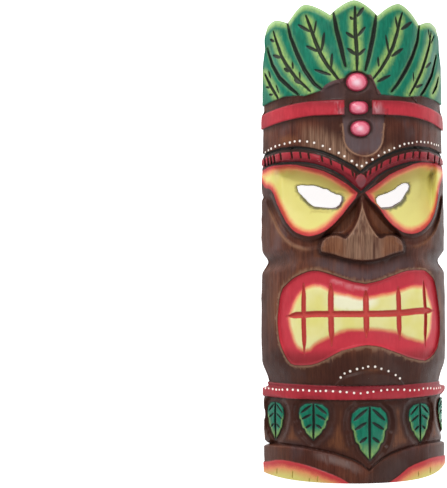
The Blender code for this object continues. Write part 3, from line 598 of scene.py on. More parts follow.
@dataclass
class Brow:
    """The winged brow: a strip between two cut lines with a row of red blocks."""

    upper: Points = (
        (0, 71), (7.6, 77.3), (17.6, 83.2), (27.6, 88.5), (37.6, 92.4), (47.6, 95.2), (57.6, 97), (67.6, 98),
        (87.6, 97.4), (107.6, 93.8), (126, 90))
    lower: Points = (
        (0, 51), (10, 59.8), (18, 67), (28, 73), (38, 77), (48, 80.2), (58, 82.2), (68, 83), (98, 82.7), (126,
        79))
    dots: Points = (
        (-114.7, 95.3), (-109.2, 97.3), (-104.4, 98.7), (-98, 100.8), (-92.1, 101.8), (-85.2, 102.8),
        (-78.3, 103.7), (-72.4, 104.5), (-66.3, 104.6), (-57.7, 103.7), (-49.9, 102.2), (-40.6, 98.8),
        (-33.1, 95.5), (-23.8, 91.4), (-18, 87.7), (-10.5, 82.6), (-5.6, 78.5), (-0.3, 77.5), (4.5, 81),
        (10.9, 84.5), (17.7, 88.5), (24.2, 91.8), (29.5, 94.2), (35.4, 96.5), (42.2, 98.8), (48, 101),
        (53.5, 101.9), (58.6, 102.4), (65, 103.7), (71.2, 103.9), (77.2, 103.7), (83.4, 103.6), (90, 103.3),
        (95.7, 102.3), (101, 102.2), (106, 101.9))
    block_gaps: tuple[float, ...] = (
        -115, -109.5, -104.5, -99.5, -90.5, -76, -65.5, -56, -41.5, -32, -20.3, -9.6, 8.6, 15.4, 20.5, 30.4,
        40, 48.4, 59.6, 69, 82.5, 96.3, 108)
    block_gap_half: float = 1.15
    block_top: Points = ((0, 5.2), (40, 4.6), (90, 3.8), (126, 3.7))
    block_height: Points = ((0, 5.6), (25, 6.2), (60, 7.0), (100, 9.0), (126, 9.0))
    diamond: Points = (
        (-7.4, 62.5), (-5.2, 67.5), (-1.2, 69.8), (2.8, 67.5), (5.0, 62.5), (2.0, 56.5), (-1.2, 54.4),
        (-4.4, 56.5))
    strip_cut: float = 0.0008
    block_rise: float = 0.0015
    line_cut: tuple[float, float] = (4.4, 0.0026)
    line_half: float = 1.35
    row_edge: float = 0.8
    panel_clear: float = 1.2

    def blocks(self, p: Places) -> Array:
        """Distance in from the edges of the red blocks and the diamond."""
        from_top = level_at(p.a, self.upper) - p.y - level_at(p.a, self.block_top)
        row = np.minimum(from_top, level_at(p.a, self.block_height) - from_top)
        lean = p.s + 0.18 * np.sign(p.s) * (from_top - 3.0)
        for gap in self.block_gaps:
            row = np.minimum(row, np.abs(lean - gap) - self.block_gap_half)
        row = np.where((lean > -7.0) & (lean < 5.0), -1.5, row)
        return np.maximum(row, self.diamond_share(p))

    def diamond_share(self, p: Places) -> Array:
        """Distance in from the edge of the diamond between the brows."""
        return inset(p.s, p.y, self.diamond, Brushwork.FAR)

    def strip(self, p: Places) -> Array:
        """Distance in from the brow's two cut lines."""
        return np.minimum(level_at(p.a, self.upper) - p.y, p.y - level_at(p.a, self.lower))

    def relief(self, p: Places) -> Array:
        """Heights of the brow, in metres."""
        h = -self.strip_cut * ramp(self.strip(p), 0.0, 1.2)
        h += self.block_rise * ramp(self.blocks(p), -0.5, 0.8)
        for line in (self.upper, self.lower):
            h += cut(near(p.a, p.y, line, 6.0), *self.line_cut)
        return h

    def paint(self, p: Places, brush: Brushwork) -> None:
        """Red blocks on a dark strip, black lines, white dots and golden grain above, with painted shade in
        the notches and under the brow, a painted sheen on the diamond, and a warm painted highlight over the
        left brow.
        """
        blocks, strip = self.blocks(p), self.strip(p)
        from_top = level_at(p.a, self.upper) - p.y - level_at(p.a, self.block_top)
        under_row = from_top - level_at(p.a, self.block_height) + self.row_edge
        brush.widen("red", blocks)
        brush.widen("red", np.minimum(strip - self.row_edge, under_row))
        row = ramp(strip, 0.0, 1.0) * ramp(blocks, -0.5, 0.5)
        # The blocks darken towards their lower edge and towards the right.
        brush.widen("shade", row * (0.42 + 0.33 * ramp(from_top, 2.5, 7.0) + 0.20 * ramp(p.s, 6.0, 30.0)))
        # Painted shade in the notches between the blocks and round them.
        brush.widen("shade", ramp(strip, -0.5, 0.5) * fade(blocks, 0.5, 1.0))
        below = level_at(p.a, self.lower) - p.y
        # Painted shade under the brow, down towards the eyes.
        brush.widen("shade", 0.9 * ramp(below, -1.5, 0.0) * fade(below, 11.0, 4.0) * ramp(p.y, 47.0, 53.0))
        # Painted sheen of the lacquer on the diamond.
        brush.widen("painted_sheen", 0.75 * ramp(self.diamond_share(p), 0.0, 1.0))
        for line in (self.upper, self.lower):
            brush.narrow("line", near(p.a, p.y, line, Brushwork.FAR) - self.line_half)
        brush.add_dots(p, self.dots)
        over = p.y - level_at(p.a, self.upper)
        panel_s, panel_y, panel_half = HeadBand.panel
        from_panel = np.hypot(p.s - panel_s, p.y - panel_y)
        left = ramp(p.s, -72.0, -50.0) * ramp(-p.s, 8.0, 14.0) * ramp(over, 0.5, 2.5) * fade(over, 30.0, 16.0)
        left *= ramp(from_panel, panel_half, panel_half + self.panel_clear)
        right = ramp(p.s, 18.0, 23.0) * fade(p.s, 38.0, 8.0) * ramp(over, 0.5, 2.0) * fade(over, 12.0, 8.0)
        middle = stripe(p.s, -2.0, 10.0, 4.0) * ramp(over, 0.5, 2.0) * fade(over, 16.0, 8.0)
        brush.widen("grain", np.maximum.reduce([left, 0.7 * right, 0.8 * middle]))
        # Warm painted highlight over the outer left brow.
        warm_highlight = stripe(p.s, -80.0, 18.0, 14.0) * stripe(p.y, 106.5, 6.5, 5.0)
        brush.widen("warm_highlight", 0.8 * warm_highlight)


@dataclass
class Eyes:
    """Two dished eyes, steep under the brow, open to the hollow behind."""

    tops: tuple[Points, Points] = (
        ((-5, 50), (-14, 57.7), (-20, 61.7), (-30, 67.7), (-40, 72.7), (-50, 75.5), (-60, 77.6), (-70, 80),
         (-80, 80.7), (-100, 80.2), (-109.5, 79), (-130, 73)),
        ((3, 50.4), (10, 54.9), (20, 61.5), (30, 68.6), (40, 73.4), (50, 76.9), (60, 80.3), (70, 82.3),
         (80, 82.8),
         (100, 82.2), (115, 79.5), (130, 77)))
    lows: tuple[Points, Points] = (
        ((-130, 58), (-115, 57.1), (-109.5, 56.8), (-105, 54.6), (-101, 50.2), (-96.5, 40.9), (-90.2, 30.8),
         (-83.5, 20.4), (-76, 12.6), (-70.9, 9.3), (-65.4, 7.2), (-60, 5.8), (-55.5, 5.4), (-50.3, 6.3),
         (-45.3, 7.6), (-40.2, 10), (-35.3, 13), (-30.4, 16.8), (-25.6, 21.7), (-20, 27.8), (-14.6, 35.4),
         (-7, 45), (-5, 50)),
        ((130, 61), (111, 60.4), (107.5, 54.6), (102.5, 43), (99.6, 37.5), (95, 29), (89, 22), (82.5, 17),
         (76.8, 13.4), (70.4, 10.2), (63.3, 8.1), (56.7, 7.3), (50, 8), (44.5, 9.4), (39.5, 12.2), (33.9, 16),
         (29.2, 20.1), (24.8, 24.9), (18.3, 33.9), (14.9, 37.6), (10, 41.4), (3, 50.4)))
    holes: tuple[tuple[Side, Points], ...] = (
        (Side.LEFT, (
            (-69.6, 57.8), (-64, 58.9), (-58.7, 58.2), (-50, 58), (-44.9, 56.5), (-39.9, 54.3), (-35.8, 53.9),
            (-31.6, 51), (-26, 48.6), (-22, 48.1), (-19.8, 46.4), (-19.8, 42), (-22, 38), (-25.5, 35.4),
            (-30, 34.6), (-49.5, 35.4), (-54.8, 38.6), (-59.7, 43.4), (-64, 47.5), (-68, 51.3))),
        (Side.RIGHT, (
            (14.5, 44.6), (17, 47), (20, 48), (26, 49.4), (30.5, 51.2), (35.2, 53.2), (39.2, 56.4),
            (44.2, 59.2), (48.8, 60.4), (52.9, 59.7), (54.6, 56.9), (53.5, 53), (49, 47.6), (46.3, 43),
            (43.7, 40), (39.6, 38), (34.5, 35.4), (31.4, 34.8), (22, 34.8), (18.8, 37.4), (15.4, 40.6))),
    )
    depth: float = 0.0130
    side: float = 105.0
    side_reach: float = 18.0
    hole_slope: float = 0.0025
    rim_rise: float = 0.0014
    channel: float = 0.0030
    # Strengths for the left and the right eye: olive painted shade under the brow, warm and pale painted
    # highlights on the ridge, and a pale painted highlight at the dish's upper outer corner.
    brow_shade: tuple[float, float] = (0.70, 0.80)
    ridge_warm_highlight: tuple[float, float] = (1.0, 0.7)
    ridge_pale_highlight: tuple[float, float] = (0.35, 0.10)
    corner_highlight: tuple[float, float] = (0.25, 0.6)
    corner: tuple[float, float] = (94.0, 71.0)
    crease: Points = ((-54, 31.0), (-30, 30.4))

    def inside(self, p: Places, which: int) -> Array:
        """Distance in from the edge of one dish."""
        return inset(p.s, p.y, self.tops[which] + self.lows[which][1:-1], 18.0)

    def relief(self, p: Places) -> Array:
        """Heights of the eyes and of the channel round them, in metres."""
        total = np.zeros(p.s.shape)
        for which, (top, low) in enumerate(zip(self.tops, self.lows)):
            inside = self.inside(p, which)
            slope = np.minimum(0.78 * near(p.s, p.y, top, 60.0), 0.40 * near(p.s, p.y, low, 80.0) + 0.6)
            deep = self.depth * (1.0 - np.exp(-1.5 * slope / 13.0)) / (1.0 - math.exp(-1.5))
            deep *= ramp(self.side - np.abs(p.s), 0.0, self.side_reach)
            h = np.where(inside > 0.0, -deep * ramp(inside, 0.0, 2.5), 0.0)
            h = np.maximum(h, -self.depth)
            h += self.rim_rise * stripe(inside, 0.0, 6.0, 6.0) * (p.y < 60.0) * (np.abs(p.s) < self.side)
            total += h - self.channel * self.channel_share(p, inside)
        return total

    def channel_share(self, p: Places, inside: Array) -> Array:
        """Mask of the hollow that runs round the lower edge of an eye."""
        ring = ramp(-inside, 3.0, 7.0) * ramp(15.0 + inside, 0.0, 5.0)
        return ring * ramp(np.abs(p.s), 30.0, 44.0) * fade(p.y, 54.0, 12.0)

    def paint(self, p: Places, brush: Brushwork) -> None:
        """Airbrushed dishes, with olive painted shade under the brow, round the holes and in a crease,
        painted shade on the wood outside them, and painted highlights on a ridge beyond.
        """
        for which, top in enumerate(self.tops):
            inside = self.inside(p, which)
            from_top = near(p.s, p.y, top, 40.0)
            brush.widen("warm", np.minimum(inside, 0.62 * from_top + 2.0))
            # Olive painted shade on the dish's steep upper wall, under the brow.
            crown = ramp(inside, 4.0, 7.0) * fade(from_top, 23.0, 13.0) * ramp(p.y, 36.0, 52.0)
            brush.widen("olive_shade", self.brow_shade[which] * crown * fade(p.a, 92.0, 22.0))
            # Painted shade on the wood just outside the dish.
            outer = ramp(inside, -8.5, -1.5) * fade(p.y, 58.0, 8.0) * fade(inside, 0.8, 0.8)
            brush.widen("shade", 0.85 * outer)
            # Warm and pale painted highlights along the ridge beyond the dish.
            ridge = stripe(inside, -13.5, 3.4, 3.2) * ramp(np.abs(p.s), 50.0, 70.0)
            ridge *= fade(p.y, 40.0, 14.0)
            brush.widen("warm_highlight", self.ridge_warm_highlight[which] * ridge)
            brush.widen("wear_and_highlight", self.ridge_pale_highlight[which] * ridge)
            # Pale painted highlight that lightens the dish's upper outer corner.
            corner = np.hypot(p.a - self.corner[0], 0.5 * (p.y - self.corner[1]))
            brush.widen("painted_sheen", self.corner_highlight[which] * fade(corner, 7.0, 7.0) * ramp(inside, 3.0, 6.0))
        for _, hole in self.holes:
            lip = inset(p.s, p.y, hole, 6.0)
            # Olive painted shade round each hole.
            brush.widen("olive_shade", 0.75 * ramp(lip, -3.2, -0.6))
            # Dark painted shade at the hole's lip, wider along its lower edge.
            brush.widen("cavity_shade", ramp(lip, -1.5, -0.7))
            brush.widen("cavity_shade", ramp(lip, -3.0, -1.8) * (p.y < 46.0) * (p.a > 20.0))
        # Olive painted shade in the crease under the left hole.
        brush.widen("olive_shade", 0.55 * fade(near(p.s, p.y, self.crease, 4.0), 1.6, 1.4))


@dataclass
class Nose:
    """The long nose with its wings, and the hollows beside its bridge."""

    middle: float = 0.9
    half_outline: Points = (
        (0, 43), (1.2, 34), (2.9, 28.4), (4.7, 22.9), (7.8, 16), (11.2, 10.5), (15, 5.2), (18, 3.2),
        (20.5, 3.8), (23.5, 5.6), (27.5, 6.8), (33, 6.2), (38, 4.2), (42, 1.2), (44.3, -2.5), (45.2, -7.5),
        (44.6, -11), (37, -12.6), (29.5, -14.6), (21.5, -17.3), (12.5, -19.2), (6, -20.1), (0, -20.3))
    side: Points = (
        (1, 48), (9, 41), (18, 31), (28, 20), (38, 11), (43, 4), (36, 2), (18, 4), (8, 14), (3, 26))
    rise: float = 0.0085
    hollow: float = 0.0085

    def shares(self, p: Places) -> tuple[Array, Array]:
        """Distances in from the nose's outline and from that of its side hollow."""
        a = np.abs(p.middle - self.middle)
        outline = self.half_outline + tuple((-s, y) for s, y in self.half_outline[-2:0:-1])
        return inset(a, p.y, outline, 14.0), inset(a, p.y, self.side, 14.0)

    def relief(self, p: Places) -> Array:
        """Heights of the nose and its hollows, in metres."""
        inside, side = self.shares(p)
        body = ramp(inside, -1.6, 1.2)
        low = self.rise * (0.25 + 0.75 * fade(p.y, 46.0, 48.0))
        return low * body - self.hollow * ramp(side, -1.0, 6.0) * (1.0 - body)

    def paint(self, p: Places, brush: Brushwork) -> None:
        """Golden grain on the nose, with a warm painted highlight on its wings, a pale one along its bridge
        and near-black painted shadow below it; in the deep hollows beside it the painted shade is taken back
        and a warm painted highlight added.
        """
        inside, side = self.shares(p)
        brush.widen("grain", ramp(inside, 0.0, 2.0))
        brush.narrow("shade", 1.0 - ramp(inside, 0.0, 1.5))
        # Warm painted highlight on the nose's wings.
        brush.widen("warm_highlight", 0.95 * ramp(inside, 0.0, 3.0) * ramp(p.a, 12.0, 26.0))
        # In the side hollows the painted shade is taken back and a warm painted highlight added, to lighten
        # them.
        brush.narrow("shade", 1.0 - 0.85 * ramp(side, 0.0, 3.0))
        brush.widen("warm_highlight", 0.6 * ramp(side, 1.0, 5.0) * (inside < 0.5))
        # Near-black painted shadow under the nose.
        under = ramp(6.5 + inside, 0.0, 4.5) * (inside < 0.5) * (p.y < 8.0)
        brush.widen("shade", 0.9 * under)
        # Pale painted highlight along the edge of the bridge.
        bridge = stripe(inside, 0.9, 1.2, 1.0) * (p.y > 4.0) * (p.a < 19.0)
        brush.widen("wear_and_highlight", 0.8 * bridge)


@dataclass
class Waists:
    """Waists cut into the sides, below the cheeks and above the lower band."""

    upper: float = 0.0065
    lower: float = 0.0060

    def shares(self, p: Places) -> tuple[Array, Array]:
        """Masks of the two waists."""
        middle = -22.0 + 9.0 * (1.0 - ramp(p.a, 46.0, 112.0))
        upper = ramp(13.0 - np.abs(p.y - middle), 0.0, 13.0)
        upper *= (0.25 + 0.75 * ramp(p.a, 50.0, 108.0)) * ramp(p.a, 38.0, 50.0)
        lower = ramp(p.y, LOWER_BAND, LOWER_BAND + 4.0) * fade(p.y, -126.0, 22.0)
        return upper, lower * (0.18 + 0.82 * ramp(p.a, 60.0, 112.0))

    def relief(self, p: Places) -> Array:
        """Heights of the waists, in metres."""
        upper, lower = self.shares(p)
        return -self.upper * upper - self.lower * lower

    def paint(self, p: Places, brush: Brushwork) -> None:
        """Painted shade in the waists, just above the lower band and under the mouth; darker along the mask's
        sides and a little darker over the lower face.
        """
        upper, lower = self.shares(p)
        near_band = ramp(p.y, LOWER_BAND, LOWER_BAND + 2.0) * fade(p.y, -134.0, 12.0)
        # Painted shade in the two waists and just above the lower band.
        brush.widen("shade", np.maximum.reduce([0.7 * upper, 0.7 * lower, 0.75 * near_band]))
        # Darker along the mask's sides.
        brush.widen("shade", 0.50 * ramp(p.a, 96.0, 118.0))
        # A little darker over the lower face.
        brush.widen("shade", 0.15 * ramp(p.y, -150.0, -20.0) * fade(p.y, 60.0, 20.0))
        # Painted shade under the mouth.
        under_mouth = ramp(p.y, -156.0, -150.0) * fade(p.y, -108.0, 14.0)
        brush.widen("shade", 0.72 * under_mouth)


@dataclass
class Mouth:
    """Sunk lips round bared teeth, with cuts between the teeth."""

    outline: Points = (
        (3, -44.5), (13, -42.5), (20, -40.8), (27.5, -38.2), (35.3, -35.6), (43.4, -32.9), (50, -31.3),
        (60, -30.4), (70, -30.6), (76.4, -31.4), (82, -34.3), (88.5, -38), (92.6, -41.6), (95.5, -46.7),
        (97.8, -52.4), (100, -58.8), (102.5, -66), (105, -74.6), (106.5, -83.2), (107, -91.7), (106, -100.2),
        (103, -107.3), (99, -114.1), (91.5, -120), (83.5, -123.7), (75.5, -126), (68, -125.2), (60, -123.4),
        (51, -120.9), (44, -118.1), (30.7, -113.5), (19.6, -109.7), (12.4, -108.2), (4, -107.3), (-2, -107.8),
        (-10, -109.4), (-22.3, -112.8), (-29.3, -116.6), (-39.8, -122.3), (-47, -125.6), (-54.3, -127.8),
        (-65.8, -128.9), (-74, -128.9), (-78.8, -127.3), (-83, -123.4), (-87, -118), (-90.5, -111.8),
        (-93.2, -104.9), (-94.5, -98), (-96, -87), (-96, -80), (-94.8, -69.7), (-93.7, -62.7), (-91.7, -55.7),
        (-88.3, -48.6), (-83, -44.3), (-78.5, -40.8), (-73.2, -37.3), (-65, -33.7), (-57.5, -31.3),
        (-52.2, -30.6), (-45.8, -30.9), (-40, -32.3), (-30, -35.4), (-20.4, -38.8), (-9.5, -42.3))
    teeth: Points = (
        (-8.3, -54.7), (3, -56), (13, -54.1), (20.6, -52.9), (29.6, -51.3), (37.5, -49.8), (47.4, -46.7),
        (52.6, -45.1), (59.6, -44.2), (70.5, -44.8), (75.4, -45), (80.5, -49.7), (84, -56.9), (87.5, -63.3),
        (91.5, -70.5), (91.5, -76), (88.5, -92.3), (87, -97.9), (83, -103.3), (78.5, -107.2), (73.2, -110.4),
        (60.2, -107.7), (51, -104.6), (44.4, -102.1), (37.2, -98.5), (31, -97), (23.4, -95.7), (14.8, -94.8),
        (-15.4, -94.8), (-22.3, -96.6), (-29.3, -100.1), (-40, -104.4), (-47, -108.4), (-54.5, -115.1),
        (-62.5, -117), (-67.5, -115.8), (-72.5, -112.4), (-76, -107.7), (-79, -101.5), (-82.8, -87),
        (-84.5, -80.8), (-82.5, -75.8), (-77.5, -63.8), (-73, -56.1), (-69.3, -51.1), (-65.2, -48),
        (-59.8, -44.8), (-53.7, -42.8), (-50, -42.4), (-43, -43), (-36.6, -45.7), (-29, -49.9), (-22, -51.3),
        (-15, -52.3))
    bite: Points = (
        (-84, -78.5), (-70, -76.5), (-50, -75.4), (-20, -74.8), (0, -75.1), (20, -75.2), (40, -75),
        (60, -73.8), (80, -73.5), (92, -74))
    bite_width: float = 6.8
    gaps: tuple[tuple[Points, float], ...] = (
        (((-62.8, -44), (-62.5, -118)), 5.5), (((-33.3, -44), (-32.6, -108)), 6.2),
        (((3.2, -51.5), (3.4, -99.5)), 6.3), (((39, -48), (40.3, -102.5)), 6.0),
        (((73.5, -42.5), (77, -80), (75.5, -111.5)), 5.5))
    sink: float = 0.0028
    teeth_rise: float = 0.0022
    tooth_cut: float = 0.0028
    # Line of the painted highlight on the upper lip, and the middle and half sizes of the painted reflection
    # on the teeth.
    gloss_highlight: Points = ((-32, -40.5), (-10, -47), (4, -49.5))
    shine: tuple[float, float, float, float] = (-10.0, -62.0, 34.0, 13.0)

    def cuts(self, p: Places) -> Array:
        """Distance outside the nearest cut between the teeth."""
        run, off = along(p.s, p.y, self.bite, Brushwork.FAR)
        outside = off - 0.5 * self.bite_width * (0.2 + 0.8 * ramp(np.minimum(run, 1.0 - run), 0.0, 0.07))
        for line, width in self.gaps:
            run, off = along(p.s, p.y, line, Brushwork.FAR)
            narrow = 0.25 + 0.75 * ramp(np.minimum(run + 0.05, 1.0 - run), 0.0, 0.24)
            outside = np.minimum(outside, off - 0.5 * width * narrow)
        return outside

    def shares(self, p: Places) -> tuple[Array, Array]:
        """Distances in from the lips' outline and from that of the teeth."""
        return inset(p.s, p.y, self.outline, 24.0), inset(p.s, p.y, self.teeth, 12.0)

    def relief(self, p: Places) -> Array:
        """Heights of the mouth, in metres."""
        lips, teeth = self.shares(p)
        h = -self.sink * ramp(lips, -0.8, 2.2) + self.teeth_rise * ramp(teeth, -1.0, 8.0)
        return h - self.tooth_cut * ramp(-self.cuts(p), -0.2, 2.2)

    def paint(self, p: Places, brush: Brushwork) -> None:
        """Red lips and cuts and yellow teeth, with a painted highlight along the wood's edge outside, painted
        shadow in the lips' upper recess, warm painted highlights beside the mouth, a painted highlight on the
        upper lip, a painted reflection on the teeth and a painted sheen over the upper lip.
        """
        lips, teeth = self.shares(p)
        brush.widen("lips", lips)
        brush.widen("teeth", teeth)
        brush.narrow("bite", np.where(lips > 0.0, self.cuts(p), Brushwork.FAR))
        # Painted highlight along the wood's edge round the lips, left off at the right.
        edge = stripe(lips, -1.7, 1.5, 1.3)
        not_right = 1.0 - ramp(p.s, 84.0, 98.0)
        brush.widen("wear_and_highlight", 0.65 * edge * not_right)
        # Warm painted highlights on the wood beside the mouth.
        around = ramp(lips, -22.0, -5.0) * ramp(-lips, 2.0, 4.0)
        sides = ramp(p.a, 88.0, 104.0) * stripe(p.y, -72.0, 30.0, 24.0)
        brush.widen("warm_highlight", 0.75 * around * sides)
        # Painted shadow in the recess along the lips' upper edge, mostly on the left.
        corner = stripe(lips, -0.4, 1.5, 1.3) * (p.y > -66.0)
        brush.widen("shade", 0.85 * corner * ramp(-p.s, -30.0, 30.0))
        # Warm painted highlight on the wood at the mouth's upper left.
        brush.widen("warm_highlight", 0.5 * ramp(8.0 + lips, 0.0, 5.0) * (lips < 0.0) * (p.y > -60.0) * (p.s < -30.0))
        # Painted highlight along the upper lip.
        gloss_highlight = fade(near(p.s, p.y, self.gloss_highlight, 6.0), 3.2, 3.0)
        brush.widen("painted_sheen", 0.8 * gloss_highlight * ramp(lips, 0.5, 2.5) * ramp(-teeth, 1.0, 3.0))
        # Painted reflection on the upper teeth.
        middle, height, half_s, half_y = self.shine
        shine = fade(np.hypot((p.s - middle) / half_s, (p.y - height) / half_y), 1.0, 0.5)
        brush.widen("painted_sheen", 0.9 * shine * ramp(teeth, 1.0, 4.0))
        # Painted sheen of the lacquer on the wood over the upper lip.
        over_lip = ramp(-lips, 2.5, 5.0) * ramp(20.0 + lips, 0.0, 12.0)
        over_lip *= ramp(p.y, -46.0, -38.0) * (p.y < -16.0)
        brush.widen("painted_sheen", 0.6 * over_lip * fade(p.a, 62.0, 26.0))


@dataclass
class ChinAndBand:
    """The chin mound under a row of dots, and the lower band."""

    chin: tuple[float, float, float, float] = (8.0, -151.0, 38.0, 18.0)
    chin_rise: float = 0.0022
    chin_dots: Points = (
        (-23.4, -140.5), (-19.3, -136.3), (-13.6, -133.9), (-6.5, -131.7), (-0.4, -130.8), (5.1, -129.4),
        (12.3, -129.7), (19.1, -132), (27.1, -134.7), (35.4, -139.1), (40.4, -142.6))
    middle: float = LOWER_BAND
    half: float = 7.2
    narrowing: float = 0.004
    rise: float = 0.0026
    band_dots: Points = (
        (-117, -156), (-110.9, -155.7), (-104.3, -155.9), (-98.9, -156.1), (-94.3, -155.9), (-89.9, -155.6),
        (-83.3, -155.1), (-76.4, -155.1), (-70.2, -155.3), (-64.1, -154.9), (-57.2, -155.1), (-49.8, -155.3),
        (-44.8, -155.1), (-38.7, -154.7), (-31.2, -155.1), (-23.8, -155.4), (-17.1, -155.8), (-9.6, -156.5),
        (-2.9, -157), (4.2, -156.2), (10.3, -155.5), (18.6, -154.6), (25.5, -154.1), (32, -154.3),
        (38.2, -154.5), (45.7, -154.8), (53.1, -156), (59.3, -156.1), (65.7, -156.3), (72.6, -155.4),
        (79.8, -155.6), (85.6, -155.9), (91.8, -156.9), (97.1, -157), (102.7, -157.1), (107.7, -157.3))

    def mound(self, p: Places) -> Array:
        """Distance in from the chin's arch."""
        middle, foot, half_s, rise = self.chin
        share = np.clip(1.0 - ((p.s - middle) / half_s) ** 2, 0.0, 1.0)
        return np.where((p.y > foot) & (share > 0.0), foot + rise * np.sqrt(share) - p.y, -1.0)

    def band(self, p: Places) -> Array:
        """Distance in from the lower band's edges."""
        return self.half - self.narrowing * p.s - np.abs(p.y - self.middle)

    def relief(self, p: Places) -> Array:
        """Heights of the chin and the band, in metres."""
        band = self.band(p)
        mound = ramp(self.mound(p), 0.0, 4.0) * (band < 0.0)
        return self.chin_rise * mound + self.rise * ramp(band, -1.1, 1.1)

    def paint(self, p: Places, brush: Brushwork) -> None:
        """Red band, dots on the band and over the chin, a warm painted highlight on the chin, painted shade
        along the band's edges, and darker wood on the chin mound and on the band itself.
        """
        band = self.band(p)
        brush.widen("red", band)
        brush.add_dots(p, self.chin_dots)
        brush.add_dots(p, self.band_dots)
        # Warm painted highlight on the chin, where the painted shade is taken back.
        patch = stripe(p.s, 10.0, 20.0, 16.0) * stripe(p.y, -133.0, 4.0, 4.0)
        brush.widen("warm_highlight", 0.8 * patch)
        brush.narrow("shade", 1.0 - 0.5 * patch)
        # The band a little darker, and the chin mound darker round the highlight.
        brush.widen("shade", 0.26 * ramp(band, 0.0, 1.0))
        brush.widen("shade", 0.72 * ramp(self.mound(p), -1.0, 1.0) * (1.0 - patch))
        # Painted shade on the wood along both edges of the band.
        brush.widen("shade", 0.85 * ramp(5.5 + band, 0.0, 4.5) * (band < 0.0))


@dataclass
class LeafBase:
    """Hanging leaves in sunk panels, a swag below them, and two painted feet."""

    leaves: tuple[tuple[float, ...], ...] = (
        (-100.5, -169.5, -209, 12.5), (-52.5, -168.0, -206, 16.5), (6.3, -170.5, -226, 19.5),
        (67, -170.5, -211, 15.5), (114, -167, -207, 13))
    lobes: Points = (
        (0.0, 0.0), (0.58, 0.03), (0.92, 0.14), (1.0, 0.28), (0.97, 0.42), (0.86, 0.46), (0.83, 0.56),
        (0.74, 0.67), (0.60, 0.70), (0.48, 0.81), (0.0, 1.0))
    veins: tuple[tuple[float, ...], ...] = (
        (0.14, 0.05, 0.86, 0.27), (0.16, 0.30, 0.80, 0.44), (0.15, 0.58, 0.54, 0.68))
    vein_width: float = 3.4
    full_half: float = 19.0
    clear: float = 8.0
    spine_width: float = 3.0
    panel_cut: float = 0.0032
    leaf_rise: float = 0.0020
    spine: tuple[float, float] = (3.6, 0.0022)
    vein_cut: float = 0.0016
    swag: Points = (
        (-130, -216), (-116, -214.5), (-101, -213.2), (-83, -212.8), (-66, -213.2), (-51, -215),
        (-40.6, -216.8), (-30, -219), (-21, -221.8), (-11, -225.4), (-2.4, -229.8), (5.8, -236), (12, -230),
        (19.5, -224.5), (29, -220), (40, -216.6), (50, -214.5), (59, -213.3), (70, -212.6), (80, -212.4),
        (100, -213), (130, -214.5))
    swag_rise: float = 0.0016
    nick: float = 0.0035
    feet: Points = (
        (-130, -237), (-114.5, -234.2), (-100.5, -230.7), (-89, -229.6), (-80, -230.1), (-70.2, -231.4),
        (-60, -233), (-50, -235.5), (-40, -238.5), (-29.9, -241.9), (-23, -244.9), (-12, -252), (0, -262),
        (24, -252), (33.6, -246.7), (40, -242.9), (46, -239.2), (50.2, -236.4), (59.2, -233.5), (69, -231.7),
        (79.8, -230.4), (90, -229.8), (100.4, -229.7), (130, -232))
    foot_rise: float = 0.0012
    toes: tuple[Points, ...] = (
        ((-98.5, -240), (-98.5, -244.5)), ((-77.5, -240.5), (-77.5, -247)), ((-57.5, -246.5), (-57.5, -250)),
        ((-48.5, -244), (-48.5, -249)), ((64, -242), (64, -247)), ((83, -240), (83, -245)))

    def outline(self, leaf: tuple[float, ...]) -> Points:
        """A leaf's outline, with two lobes on each side and a pointed tip."""
        middle, top, tip, half = leaf
        right = tuple((middle + across * half, top + down * (tip - top)) for across, down in self.lobes)
        return right + tuple((2.0 * middle - s, y) for s, y in right[-2:0:-1])

    def cuts(self, p: Places, leaf: tuple[float, ...]) -> tuple[Array, Array]:
        """Distances outside a leaf's spine and outside its side veins."""
        middle, top, tip, half = leaf
        drop = tip - top
        spine = gouge_gap(p.s, p.y, ((middle, top + 1.0), (middle, tip - 1.0)), self.spine_width, 0.5)
        vein = np.full(p.s.shape, Brushwork.FAR)
        for root_s, root_y, end_s, end_y in self.veins:
            for side in (-half, half):
                root = (middle + side * root_s, top + drop * root_y)
                end = (middle + side * end_s, top + drop * end_y)
                width = self.vein_width * half / self.full_half
                vein = np.minimum(vein, gouge_gap(p.s, p.y, (root, end), width, 0.2))
        return spine, vein

    def under_swag(self, p: Places) -> Array:
        """Distance below the swag's line."""
        return level_at(p.s, self.swag) - p.y

    def foot_share(self, p: Places) -> Array:
        """Distance below the feet's upper edges."""
        return level_at(p.s, self.feet) - p.y

    def toe_gap(self, p: Places) -> Array:
        """Distance to the nearest notch between the toes."""
        return np.minimum.reduce([near(p.s, p.y, toe, Brushwork.FAR) for toe in self.toes])

    def relief(self, p: Places) -> Array:
        """Heights of the base, in metres."""
        h = np.zeros(p.s.shape)
        for leaf in self.leaves:
            gap = inset(p.s, p.y, self.outline(leaf), 12.0)
            h -= self.panel_cut * ramp(gap, -9.0, -3.0)
            h += self.leaf_rise * ramp(gap, -1.0, 1.2)
            spine, vein = self.cuts(p, leaf)
            cuts = np.maximum(self.spine[1] * ramp(-spine, -0.4, 1.4), self.vein_cut * ramp(-vein, -0.4, 1.4))
            h -= cuts * ramp(gap, -1.0, 1.0)
        under = self.under_swag(p)
        h = h * (1.0 - ramp(under, -2.0, 2.0)) + self.swag_rise * ramp(under, 0.0, 3.0)
        h += cut(np.abs(under), 4.0, self.swag_rise)
        h += cut(np.abs(under), 8.0, self.nick) * ramp(p.a, 88.0, 118.0)
        foot = self.foot_share(p)
        h += self.foot_rise * ramp(foot, -1.0, 1.2) + cut(self.toe_gap(p), 1.8, 0.0010) * (foot > 4.0)
        return h * (p.y < LOWER_BAND)

